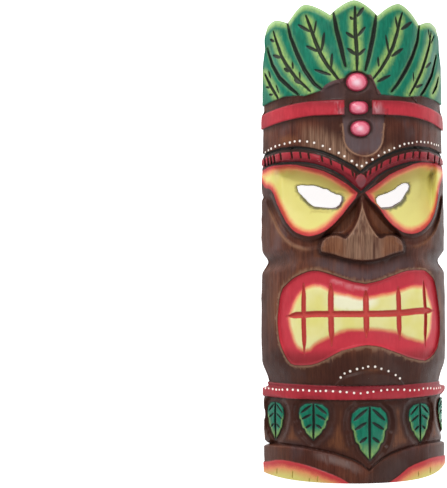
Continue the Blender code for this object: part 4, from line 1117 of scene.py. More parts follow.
    def paint(self, p: Places, brush: Brushwork) -> None:
        """Green leaves with light tips in sunk panels with painted shade, warm painted highlights on the
        ridges between, painted shade and a painted sheen along the swag, and red and yellow feet with olive
        painted shade in the notches between the toes.
        """
        here = p.y < LOWER_BAND - self.clear
        under = self.under_swag(p)
        ridge = np.full(p.s.shape, 30.0)
        for leaf in self.leaves:
            gap = inset(p.s, p.y, self.outline(leaf), 30.0)
            brush.widen("leaf", np.where(here, gap, -Brushwork.FAR))
            spine, vein = self.cuts(p, leaf)
            brush.narrow("vein", np.where(here & (gap > -1.0), np.minimum(spine, vein), Brushwork.FAR))
            share = (leaf[1] - p.y) / (leaf[1] - leaf[2])
            low = ramp(share, 0.62, 0.95) * ramp(gap, -1.0, 0.5)
            edge = fade(gap, 3.0, 2.6) * ramp(share, 0.28, 0.42) * ramp(gap, -1.0, 0.5)
            brush.widen("fresh", np.maximum(0.9 * low, 0.85 * edge) * here)
            # Painted shade on the wood round each leaf in its sunk panel.
            brush.widen("shade", 0.95 * ramp(gap, -5.5, -0.5) * fade(gap, 0.6, 1.0) * here * (under < 2.0))
            brush.narrow("line", np.where(here & (gap < 0.5), -gap - 1.0, Brushwork.FAR))
            ridge = np.minimum(ridge, -gap)
        # Painted shade on the wood between the leaves, above the swag.
        brush.widen("shade", 0.72 * here * (under < 0.0) * ramp(ridge, 0.0, 1.0))
        # Warm painted highlights on the ridges between the panels, where the painted shade is taken back.
        warm = ramp(ridge, 8.0, 14.0) * here * ramp(-under, 1.0, 8.0) * fade(p.y, -168.0, 10.0)
        brush.widen("warm_highlight", 0.95 * warm)
        brush.narrow("shade", 1.0 - 0.7 * warm)
        brush.narrow("line", np.where(here & (np.abs(p.s - 6.0) < 34.0), np.abs(under) - 0.3, Brushwork.FAR))
        # Painted shade along the swag's line.
        brush.widen("shade", 0.8 * stripe(under, 0.0, 3.5, 3.0) * here)
        # Painted sheen of the lacquer and a pale painted highlight just below the swag, on the left.
        sheen = ramp(under, 2.0, 5.0) * fade(under, 13.0, 5.0)
        sheen *= ramp(-p.s, -2.0, 14.0) * ramp(p.s, -60.0, -36.0)
        brush.widen("painted_sheen", 0.9 * sheen)
        brush.widen("wear_and_highlight", 0.25 * sheen)
        foot = self.foot_share(p)
        brush.widen("warm", np.minimum(foot * 0.55, 12.0))
        # Olive painted shade over the yellow of the feet.
        brush.widen("olive_shade", 0.30 * ramp(foot, 6.0, 10.0))
        # Painted shade below the swag, on the right and on the far left, and darker wood just above the
        # feet's edge.
        brush.widen("shade", 0.60 * ramp(under, 2.0, 5.0) * ramp(p.s, 0.0, 10.0) * here)
        brush.widen("shade", 0.50 * ramp(under, 2.0, 5.0) * ramp(-p.s, 44.0, 60.0) * here)
        brush.widen("shade", 0.55 * ramp(foot, -3.5, 0.0) * here)
        # Olive painted shade in the notches between the toes.
        brush.widen("olive_shade", 0.9 * ramp(1.3 - self.toe_gap(p), 0.0, 1.0) * (foot > 5.0))


@dataclass
class CarvedBody:
    """The whole mask as one carved piece."""

    blank: Blank
    step: float = 0.80
    triangles: int = 150000
    chisel: float = 0.00022
    chisel_cell: float = 7.0
    edge_lift: tuple[float, float] = (4.0, 10.0)
    rim_rounds: int = 4
    gouge: float = 0.0006
    trough_grid: tuple[int, int] = (150, 110)
    trough_turn: float = 0.55
    sharp_deg: float = 58.0
    crown: LeafCrown = field(default_factory=LeafCrown)
    band: HeadBand = field(default_factory=HeadBand)
    brow: Brow = field(default_factory=Brow)
    eyes: Eyes = field(default_factory=Eyes)
    nose: Nose = field(default_factory=Nose)
    waists: Waists = field(default_factory=Waists)
    mouth: Mouth = field(default_factory=Mouth)
    chin: ChinAndBand = field(default_factory=ChinAndBand)
    base: LeafBase = field(default_factory=LeafBase)

    def relief(self, p: Places) -> Array:
        """Height of the carved surface over the log, in metres.

        Args:
            p: Plan points.

        Returns:
            One height for each point.
        """
        h = self.blank.trim(p.y) + self.chisel * hand_waver(p.s, p.y, self.chisel_cell, 11)
        h += self.crown.relief(p) + self.band.relief(p) + self.brow.relief(p)
        h = self.band.set_beads(p, h)
        for zone in (self.eyes, self.nose, self.waists, self.mouth, self.chin, self.base):
            h += zone.relief(p)
        return h

    def bottom_edge(self, s: Array) -> Array:
        """Height of the foot's edge on the plan, a little higher at the sides."""
        return -PLAN_LENGTH / 2.0 + np.where(s < 0.0, *self.edge_lift) * (np.abs(s) / PLAN_HALF) ** 4

    def rows(self, s: Array, share: Array) -> Array:
        """Heights on the plan at shares of the way from the foot to the crown's edge."""
        low = self.bottom_edge(s)
        return low + share * (self.crown.top_edge(s) - low)

    def front(self) -> bpy.types.Object:
        """The carved front as an open sheet, thinned where it is plain."""
        step = self.step * 1.0
        columns, rows = int(2 * PLAN_HALF / step), int(PLAN_LENGTH / step)
        bm = bmesh.new()
        bmesh.ops.create_grid(bm, x_segments=columns, y_segments=rows, size=1.0)
        flat = np.array([v.co[:] for v in bm.verts])
        levels = np.linspace(0.0, 1.0, rows + 1)
        side, share = np.tile([-1.0, 1.0], rows + 1), np.repeat(levels, 2)
        reach = np.full(2 * (rows + 1), PLAN_HALF)
        for _ in range(self.rim_rounds):
            s = side * reach
            height = self.relief(Places(s, self.rows(s, share)))
            reach = 0.5 * (reach + self.blank.side_reach(side, height))
        rims = reach.reshape(-1, 2)
        share = (flat[:, 1] + 1.0) / 2.0
        left, right = (np.interp(share, levels, rims[:, k]) for k in (0, 1))
        rim = np.where(flat[:, 0] < 0.0, left, right)
        s = flat[:, 0] * rim
        y = self.rows(s, share)
        places = self.blank.points(s, y, self.relief(Places(s, y)))
        for vert, place in zip(bm.verts, places):
            vert.co = place
        sheet = new_object("carved_front", bm)
        thin = sheet.modifiers.new("Thin", "DECIMATE")
        thin.ratio = min(1.0, self.triangles / (2.0 * columns * rows))
        return sheet

    def closed(self, sheet: bpy.types.Object) -> bpy.types.Object:
        """The front closed by side walls down to a flat back."""
        bm = bmesh.new()
        bm.from_mesh(baked_mesh(sheet))
        bpy.data.objects.remove(sheet)
        rim = [edge for edge in bm.edges if edge.is_boundary]
        walls = bmesh.ops.extrude_edge_only(bm, edges=rim)["geom"]
        for vert in (item for item in walls if isinstance(item, bmesh.types.BMVert)):
            vert.co.z = 0.0
        loop = [edge for edge in bm.edges if edge.is_boundary]
        back = bmesh.ops.contextual_create(bm, geom=loop)["faces"]
        bmesh.ops.recalc_face_normals(bm, faces=bm.faces[:])
        for face in back:
            face.material_index = Surface.BARE.value
        return new_object("carved_mask", bm)

    def hollow_cutter(self) -> bpy.types.Object:
        """The trough behind: a round bar with rounded ends, waved by the gouge."""
        blank = self.blank
        radius = blank.radius - blank.wall
        length = blank.length - blank.top_block - blank.bottom_block
        bm = bmesh.new()
        around, rings = self.trough_grid
        bmesh.ops.create_grid(bm, x_segments=around, y_segments=rings, size=1.0)
        for vert in bm.verts:
            angle = vert.co.x * math.pi * self.trough_turn
            place = vert.co.y * length / 2.0
            from_end = length / 2.0 - abs(place)
            sunk = max(blank.corner - from_end, 0.0)
            corner = blank.corner - math.sqrt(max(blank.corner**2 - sunk**2, 0.0))
            scoop = abs(math.sin(angle * 13.0 + 0.7 * math.sin(place * 47.0)))
            scoop *= 0.6 + 0.4 * abs(math.sin(place * 88.0 + angle * 5.0))
            r = radius - corner - self.gouge * (1.0 - scoop)
            vert.co = (r * math.sin(angle), place + (blank.bottom_block - blank.top_block) / 2.0,
                       r * math.cos(angle) - blank.axis_depth)
        rim = [edge for edge in bm.edges if edge.is_boundary]
        bmesh.ops.contextual_create(bm, geom=rim)
        bmesh.ops.recalc_face_normals(bm, faces=bm.faces[:])
        return new_object("hollow_cutter", bm)

    def hole_cutter(self, side: Side, points: Points) -> bpy.types.Object:
        """A prism through an eye dish, whose lower face slopes for the chisel."""
        eyes, blank = self.eyes, self.blank
        p = Places(*np.array(points, float).T)
        places = blank.points(*np.array(points, float).T, self.relief(p))
        top, floor = places[:, 1].max(), places[:, 2].mean()
        slope = eyes.hole_slope / blank.wall / (top - places[:, 1].min())
        levels = (blank.radius - blank.axis_depth, floor / 4.0)
        bm = bmesh.new()
        face = bm.faces.new([bm.verts.new(place) for place in places])
        back = bmesh.ops.extrude_face_region(bm, geom=[face])["geom"]
        ends = (face.verts, [item for item in back if isinstance(item, bmesh.types.BMVert)])
        for level, verts in zip(levels, ends):
            for vert in verts:
                vert.co.y -= slope * (level - floor) * (top - vert.co.y)
                vert.co.z = level
        bmesh.ops.recalc_face_normals(bm, faces=bm.faces[:])
        return new_object(f"{side.value}_eye_cutter", bm)

    def hollowed(self, mask: bpy.types.Object) -> bpy.types.Object:
        """The mask with its hollow and eye holes cut, as a plain mesh."""
        cutters = [self.hollow_cutter()]
        cutters += [self.hole_cutter(side, points) for side, points in self.eyes.holes]
        for obj in [mask] + cutters:
            for _ in Surface:
                obj.data.materials.append(None)
        for face in cutters[0].data.polygons:
            face.material_index = Surface.BARE.value
        for cutter in cutters:
            carve = mask.modifiers.new(cutter.name, "BOOLEAN")
            carve.operation = "DIFFERENCE"
            carve.solver = "EXACT"
            carve.object = cutter
        mesh = baked_mesh(mask)
        mask.modifiers.clear()
        mask.data = mesh
        for cutter in cutters:
            bpy.data.objects.remove(cutter)
        return mask

    def brush(self, mask: bpy.types.Object) -> None:
        """Works out every paint edge on the finished mesh."""
        mesh = mask.data
        points = np.empty(len(mesh.vertices) * 3, np.float32)
        mesh.vertices.foreach_get("co", points)
        s, y, height = self.blank.unroll(points.reshape(-1, 3).astype(float))
        p = Places(s, y)
        brush = Brushwork(len(s))
        zones = (self.waists, self.crown, self.band, self.brow, self.eyes, self.nose, self.mouth, self.chin,
                 self.base)
        for zone in zones:
            zone.paint(p, brush)
        buried = (self.relief(p) - height) / self.blank.unit
        for name in ("leaf", "red", "warm"):
            brush.narrow(name, (5.0 - buried) * 6.0)
        # Painted shade on walls that lie deeper than the carved front, such as those of the eye holes.
        brush.widen("shade", 0.6 * ramp(buried, 2.0, 6.0))
        brush.widen("cavity_shade", 0.9 * ramp(buried, 1.0, 3.0))
        brush.write(mesh)

    def build(self) -> bpy.types.Object:
        """The finished piece.

        Returns:
            The carved mask, without its materials.
        """
        mask = self.hollowed(self.closed(self.front()))
        self.brush(mask)
        mask.data.shade_smooth()
        mask.data.set_sharp_from_angle(angle=math.radians(self.sharp_deg))
        return mask


def baked_mesh(obj: bpy.types.Object) -> bpy.types.Mesh:
    """An object's mesh with its modifiers applied, as a new mesh."""
    graph = bpy.context.evaluated_depsgraph_get()
    source = obj.evaluated_get(graph)
    return bpy.data.meshes.new_from_object(source, preserve_all_data_layers=True, depsgraph=graph)


def new_object(name: str, bm: bmesh.types.BMesh) -> bpy.types.Object:
    """An object in the scene made from a bmesh, which is freed."""
    mesh = bpy.data.meshes.new(name)
    bm.to_mesh(mesh)
    bm.free()
    obj = bpy.data.objects.new(name, mesh)
    bpy.context.scene.collection.objects.link(obj)
    return obj


@dataclass(frozen=True)
class Noise:
    """A noise's scale, its stretch along the mask and its detail."""

    scale: float
    stretch: float = 1.0
    detail: float = 3.0


@dataclass(frozen=True)
class Mottle:
    """A noise graded smoothly from one range of values to another."""

    noise: Noise
    low: float
    high: float
    weak: float = 0.0
    strong: float = 1.0


class Wiring:
    """A node tree that is being wired."""

    def __init__(self, tree: bpy.types.NodeTree) -> None:
        """Keeps the tree."""
        self.tree = tree

    def add(self, kind: str, inputs: dict | None = None, **settings) -> bpy.types.Node:
        """Adds a node.

        Args:
            kind: The node's type name.
            inputs: Values or sockets for its inputs, by name or number.
            settings: Properties of the node.

        Returns:
            The node.
        """
        node = self.tree.nodes.new(kind)
        for key, value in settings.items():
            setattr(node, key, value)
        for key, value in (inputs or {}).items():
            self.feed(node.inputs[key], value)
        return node

    def feed(self, socket: Socket, value) -> None:
        """Links a socket to an input, or sets the input's value."""
        if isinstance(value, bpy.types.NodeSocket):
            self.tree.links.new(value, socket)
        elif isinstance(value, tuple) and len(value) == 3 and socket.type == "RGBA":
            socket.default_value = (*value, 1.0)
        else:
            socket.default_value = value

    def math(self, operation: str, first, second=0.0, clamp: bool = False) -> Socket:
        """The result of a Math node."""
        inputs = {0: first, 1: second}
        return self.add("ShaderNodeMath", inputs, operation=operation, use_clamp=clamp).outputs[0]

    def times(self, first, second) -> Socket:
        """Two values multiplied."""
        return self.math("MULTIPLY", first, second)

    def plus(self, first, second, clamp: bool = False) -> Socket:
        """Two values added."""
        return self.math("ADD", first, second, clamp)

    def rest(self, value) -> Socket:
        """What a share leaves of 1."""
        return self.math("SUBTRACT", 1.0, value)

    def swing(self, value, strength) -> Socket:
        """A value from 0 to 1 as a swing round 0."""
        return self.times(self.math("SUBTRACT", value, 0.5), strength)

    def grade(self, value, low: float, high: float, to_low: float = 0.0, to_high: float = 1.0) -> Socket:
        """A value graded smoothly from one range to another."""
        inputs = {"Value": value, 1: low, 2: high, 3: to_low, 4: to_high}
        return self.add("ShaderNodeMapRange", inputs, interpolation_type="SMOOTHSTEP").outputs[0]

    def mix(self, share, first, second) -> Socket:
        """Two colours mixed."""
        node = self.add("ShaderNodeMix", data_type="RGBA")
        for index, value in ((0, share), (6, first), (7, second)):
            self.feed(node.inputs[index], value)
        return node.outputs[2]

    def field(self, name: str, output: str = "Fac") -> Socket:
        """A value that the brushwork stored on the mesh."""
        node = self.add("ShaderNodeAttribute", attribute_name=name, attribute_type="GEOMETRY")
        return node.outputs[output]

    def part(self, name: str, share: float) -> Socket:
        """A share of a stored mask."""
        return self.times(self.field(name), share)

    def noise(self, noise: Noise) -> Socket:
        """Noise in the mask's own space, drawn out along its length."""
        place = self.add("ShaderNodeTexCoord").outputs["Object"]
        scale = (1.0, noise.stretch, 1.0)
        size = self.add("ShaderNodeMapping", {"Vector": place, "Scale": scale}).outputs[0]
        inputs = {"Vector": size, "Scale": noise.scale, "Detail": noise.detail}
        return self.add("ShaderNodeTexNoise", inputs).outputs["Fac"]

    def mottle(self, mottle: Mottle) -> Socket:
        """A graded noise."""
        return self.grade(self.noise(mottle.noise), mottle.low, mottle.high, mottle.weak, mottle.strong)

    def patchy(self, name: str, mottle: Mottle) -> Socket:
        """A stored mask, broken up by a graded noise."""
        return self.times(self.field(name), self.mottle(mottle))

    def group(self, tree: bpy.types.NodeTree, inputs: dict) -> bpy.types.Node:
        """Places a node group and feeds it."""
        node = self.tree.nodes.new("ShaderNodeGroup")
        node.node_tree = tree
        for key, value in inputs.items():
            self.feed(node.inputs[key], value)
        return node

    def bump(self, shader: bpy.types.Node, strength: float, distance: float, height: Socket) -> None:
        """Gives a shader a bumpy surface."""
        inputs = {"Strength": strength, "Distance": distance, "Height": height}
        self.feed(shader.inputs["Normal"], self.add("ShaderNodeBump", inputs).outputs["Normal"])


def new_material(name: str) -> tuple[bpy.types.Material, Wiring, bpy.types.Node]:
    """A material with its wiring and its Principled shader."""
    material = bpy.data.materials.new(name)
    material.use_nodes = True
    return material, Wiring(material.node_tree), material.node_tree.nodes["Principled BSDF"]


class EffectGroup:
    """A shader node group shared by several finishes, built once."""

    name = "Effect"
    inputs: tuple[tuple[str, str], ...] = ()
    outputs: tuple[tuple[str, str], ...] = ()

    def __init__(self) -> None:
        """Makes the group's sockets and wires it."""
        self.tree = bpy.data.node_groups.new(self.name, "ShaderNodeTree")
        for direction, sockets in (("INPUT", self.inputs), ("OUTPUT", self.outputs)):
            for name, kind in sockets:
                self.tree.interface.new_socket(name, in_out=direction, socket_type=kind)
        wiring = Wiring(self.tree)
        given = wiring.add("NodeGroupInput").outputs
        results = self.wire(wiring, given)
        target = wiring.add("NodeGroupOutput")
        for name, socket in results.items():
            wiring.feed(target.inputs[name], socket)

    def wire(self, w: Wiring, given) -> dict[str, Socket]:
        """Wires the group and gives its results by name."""
        raise NotImplementedError


FLOAT, COLOUR, VECTOR = "NodeSocketFloat", "NodeSocketColor", "NodeSocketVector"


class WoodFibres(EffectGroup):
    """Long fibres, broad growth bands and short dark pores along the mask."""

    name = "Wood fibres"
    inputs = (("Dark", COLOUR), ("Light", COLOUR), ("Balance", FLOAT), ("Contrast", FLOAT))
    outputs = (("Color", COLOUR), ("Height", FLOAT))
    fine, broad, cloud = Noise(620.0, 0.035, 4.0), Noise(150.0, 0.06), Noise(30.0, 0.5, 2.0)
    fine_share, broad_share, cloud_share = 0.50, 0.32, 0.18
    pores = Mottle(Noise(1100.0, 0.05, 2.0), 0.58, 0.70)
    pore_colour, fine_height, pore_height = 0.5, 0.7, 0.6

    def wire(self, w: Wiring, given) -> dict[str, Socket]:
        """Wires the fibres."""
        fine, pores = w.noise(self.fine), w.mottle(self.pores)
        blend = w.plus(w.times(fine, self.fine_share), w.times(w.noise(self.broad), self.broad_share))
        blend = w.plus(blend, w.times(w.noise(self.cloud), self.cloud_share))
        share = w.plus(w.swing(blend, given["Contrast"]), given["Balance"], clamp=True)
        colour = w.mix(share, given["Dark"], given["Light"])
        colour = w.mix(w.times(pores, self.pore_colour), colour, given["Dark"])
        height = w.math("SUBTRACT", w.times(fine, self.fine_height), w.times(pores, self.pore_height))
        return {"Color": colour, "Height": height}


class HandEdge(EffectGroup):
    """A hand-painted edge: a field cut at zero, with a little waver."""

    name = "Hand-painted edge"
    inputs = (("Field", FLOAT), ("Softness", FLOAT), ("Waver", FLOAT))
    outputs = (("Mask", FLOAT),)
    waver = Noise(420.0, 1.0, 2.0)

    def wire(self, w: Wiring, given) -> dict[str, Socket]:
        """Wires the edge."""
        moved = w.plus(given["Field"], w.swing(w.noise(self.waver), given["Waver"]))
        return {"Mask": w.grade(w.math("DIVIDE", moved, given["Softness"]), -1.0, 1.0)}


class BrushedPaint(EffectGroup):
    """Thick paint with brush streaks: two tones and a slight height."""

    name = "Brushed paint"
    inputs = (("Deep", COLOUR), ("Bright", COLOUR), ("Streaks", FLOAT))
    outputs = (("Color", COLOUR), ("Height", FLOAT))
    streak, cloud = Noise(380.0, 0.22), Noise(70.0, 0.8, 2.0)
    streak_share, cloud_share = 0.6, 0.4

    def wire(self, w: Wiring, given) -> dict[str, Socket]:
        """Wires the streaks."""
        streak = w.noise(self.streak)
        blend = w.plus(w.times(streak, self.streak_share), w.times(w.noise(self.cloud), self.cloud_share))
        share = w.plus(w.swing(blend, given["Streaks"]), 0.5, clamp=True)
        return {"Color": w.mix(share, given["Deep"], given["Bright"]), "Height": streak}


class Airbrush(EffectGroup):
    """Three colours sprayed into each other inward from an edge."""

    name = "Airbrush"
    inputs = (
        ("Field", FLOAT), ("Edge", COLOUR), ("Middle", COLOUR), ("Inner", COLOUR), ("Edge width", FLOAT),
        ("Middle width", FLOAT))
    outputs = (("Color", COLOUR),)
    speckle, speckle_swing = Noise(900.0), 1.6
    cloud, cloud_swing = Noise(90.0, 1.0, 2.0), 2.4
    edge_range, middle_range = (0.35, 1.55), (0.55, 1.6)

    def wire(self, w: Wiring, given) -> dict[str, Socket]:
        """Wires the spray."""
        speckle = w.swing(w.noise(self.speckle), self.speckle_swing)
        cloud = w.swing(w.noise(self.cloud), self.cloud_swing)
        moved = w.plus(given["Field"], w.plus(speckle, cloud))
        first = w.grade(w.math("DIVIDE", moved, given["Edge width"]), *self.edge_range)
        second = w.grade(w.math("DIVIDE", moved, given["Middle width"]), *self.middle_range)
        colour = w.mix(first, given["Edge"], given["Middle"])
        return {"Color": w.mix(second, colour, given["Inner"])}


class DotRow(EffectGroup):
    """Round dots, each a little larger or smaller than the next."""

    name = "Dot row"
    inputs = (("Row", VECTOR), ("Radius", FLOAT))
    outputs = (("Mask", FLOAT),)
    smallest, scatter = 0.88, 0.24
    softness = 0.25
    whole = 0.001

    def wire(self, w: Wiring, given) -> dict[str, Socket]:
        """Wires the dots. Points between two dots' zones hold no whole count and stay bare."""
        parts = w.add("ShaderNodeSeparateXYZ", {0: given["Row"]}).outputs
        square = w.plus(w.times(parts["X"], parts["X"]), w.times(parts["Y"], parts["Y"]))
        count = w.math("FLOOR", w.plus(parts["Z"], 0.5))
        scatter = w.add("ShaderNodeTexWhiteNoise", {"W": count}, noise_dimensions="1D").outputs["Value"]
        size = w.times(given["Radius"], w.plus(self.smallest, w.times(scatter, self.scatter)))
        inside = w.math("SUBTRACT", size, w.math("SQRT", square))
        between = w.math("ABSOLUTE", w.math("SUBTRACT", parts["Z"], count))
        disc = w.grade(inside, -self.softness, self.softness)
        return {"Mask": w.times(disc, w.math("LESS_THAN", between, self.whole))}


@dataclass(frozen=True)
class StainedWood:
    """Dark stained wood with painted shade, warm painted highlights on its ridges, a painted sheen, and pale
    painted highlights and wear on its edges.
    """

    dark: Colour = (0.050, 0.0120, 0.0070)
    light: Colour = (0.180, 0.056, 0.036)
    fibres: tuple[float, float] = (0.42, 2.3)
    # Warm wood, laid on in random patches and as the warm painted highlights.
    warm_dark: Colour = (0.100, 0.033, 0.018)
    warm_light: Colour = (0.310, 0.115, 0.048)
    warm_fibres: tuple[float, float] = (0.42, 2.2)
    # Pale colour of the painted highlights and wear on edges.
    wear_and_highlight: Colour = (0.350, 0.195, 0.120)
    # Colours of the painted shade and of the painted sheen of the lacquer.
    shade: Colour = (0.034, 0.013, 0.010)
    painted_sheen: Colour = (0.135, 0.102, 0.112)
    warm_patches: Mottle = Mottle(Noise(24.0, 0.6), 0.35, 0.75)
    warm_cover: float = 0.55
    # Random patches of the sheen colour and of darker wood, then the break-ups of the painted sheen, the
    # painted shade and the pale highlights on edges.
    sheen_patches: Mottle = Mottle(Noise(33.0, 0.7), 0.50, 0.72, 0.0, 0.45)
    dark_patches: Mottle = Mottle(Noise(19.0, 0.8), 0.46, 0.66, 0.0, 0.62)
    haze: Mottle = Mottle(Noise(150.0, 0.3), 0.2, 0.7, 0.6, 1.0)
    smudged_shade: Mottle = Mottle(Noise(120.0, 0.5), 0.1, 0.7, 0.85, 1.0)
    rubbed_highlight: Mottle = Mottle(Noise(120.0, 0.4), 0.2, 0.5, 0.45, 1.0)


@dataclass(frozen=True)
class StreakedGrain:
    """Golden grain that shows in streaks on the nose and over the brow."""

    dark: Colour = (0.085, 0.036, 0.024)
    light: Colour = (0.400, 0.235, 0.150)
    fibres: tuple[float, float] = (0.36, 3.4)
    ragged: Mottle = Mottle(Noise(340.0, 0.05), 0.3, 0.55, 0.45, 1.0)
    # How far the warm painted highlights hide the streaks.
    under_warm_highlight: float = 0.8


@dataclass(frozen=True)
class LeafPaint:
    """Teal leaves with yellow-green lights and near-black cuts and lines."""

    deep: Colour = (0.005, 0.100, 0.060)
    bright: Colour = (0.014, 0.240, 0.145)
    fresh: Colour = (0.300, 0.470, 0.135)
    # Pale green of the painted highlight on the leaf tips' edge.
    bevel: Colour = (0.400, 0.580, 0.300)
    cut: Colour = (0.024, 0.026, 0.024)
    streaks: float = 1.8
    speckle: Mottle = Mottle(Noise(420.0, 0.45), 0.30, 0.55, 0.55, 1.0)
    line_cover: float = 0.9
    # How strongly the painted shade darkens the leaves.
    shade_cover: float = 0.35
    vein_cover: float = 0.95


@dataclass(frozen=True)
class RedPaint:
    """Crimson bands, blocks and lips."""

    deep: Colour = (0.370, 0.020, 0.032)
    bright: Colour = (0.590, 0.046, 0.066)
    # Pink of the painted highlights on the band and the lips.
    wear_and_highlight: Colour = (0.780, 0.330, 0.360)
    lips: Colour = (0.780, 0.062, 0.092)
    groove: Colour = (0.560, 0.072, 0.062)
    # Dark red of the painted shade on the red.
    shaded_red: Colour = (0.070, 0.012, 0.016)
    streaks: float = 1.5
    # Break-up of the pink painted highlights.
    dry_highlight: Mottle = Mottle(Noise(300.0, 0.25), 0.40, 0.60)
    shade_cover: float = 0.72
    # How strongly the painted sheen shows on the red.
    sheen_cover: float = 0.6
    lip_cover: float = 0.35
    # Strengths of the painted highlight and the painted shade on the lips.
    lip_highlight: float = 0.65
    lip_shade: float = 0.7


@dataclass(frozen=True)
class SprayedYellow:
    """Yellow sprayed with orange and crimson towards its edge, with colours for its painted highlights and
    painted shade.
    """

    edge: Colour = (0.490, 0.046, 0.052)
    middle: Colour = (0.780, 0.230, 0.120)
    inner: Colour = (0.760, 0.700, 0.225)
    # Pale cream: the teeth's own lighter tone, and the painted highlights and reflections.
    pale: Colour = (0.890, 0.870, 0.640)
    # Olive painted shade.
    olive_shade: Colour = (0.450, 0.350, 0.080)
    # Dark painted shade in and round the eye holes.
    smudged_shade: Colour = (0.085, 0.095, 0.062)
    widths: tuple[float, float] = (3.5, 6.0)
    tooth_widths: tuple[float, float] = (2.1, 4.4)
    # How strongly the painted highlights and the painted shade in the holes show.
    sheen_cover: float = 0.8
    cavity_cover: float = 0.8
    cream: Mottle = Mottle(Noise(40.0, 0.8, 2.0), 0.3, 0.7, 0.0, 0.3)


@dataclass(frozen=True)
class BeadPaint:
    """Pink beads with a pale middle and a crimson edge."""

    edge: Colour = (0.420, 0.030, 0.070)
    middle: Colour = (0.800, 0.180, 0.260)
    # Pale middle of the airbrushed pink, partly standing in for a painted highlight.
    inner: Colour = (0.940, 0.660, 0.730)
    widths: tuple[float, float] = (1.5, 5.6)


@dataclass(frozen=True)
class DotPaint:
    """White dots."""

    colour: Colour = (0.960, 0.880, 0.800)
    radius: float = 1.15


@dataclass(frozen=True)
class Lacquer:
    """One thin, dull coat over the whole front, glossier on the beads."""

    roughness: float = 0.40
    mottle: Mottle = Mottle(Noise(55.0, 0.5), 0.3, 0.7, -0.05, 0.05)
    coat: float = 0.04
    bead_coat: float = 0.6
    coat_roughness: float = 0.20
    specular: float = 0.13
    streak_height: float = 0.5
    hidden_fibres: float = 0.6
    bump: tuple[float, float] = (0.5, 0.0004)


@dataclass(frozen=True)
class BareWood:
    """Raw pale wood in the hollow behind."""

    dark: Colour = (0.240, 0.130, 0.060)
    light: Colour = (0.560, 0.400, 0.240)
    fibres: tuple[float, float] = (0.6, 1.5)
    dust: Mottle = Mottle(Noise(18.0, 0.7), 0.35, 0.7, 0.0, 0.35)
    roughness: float = 0.78
    bump: tuple[float, float] = (0.6, 0.0005)


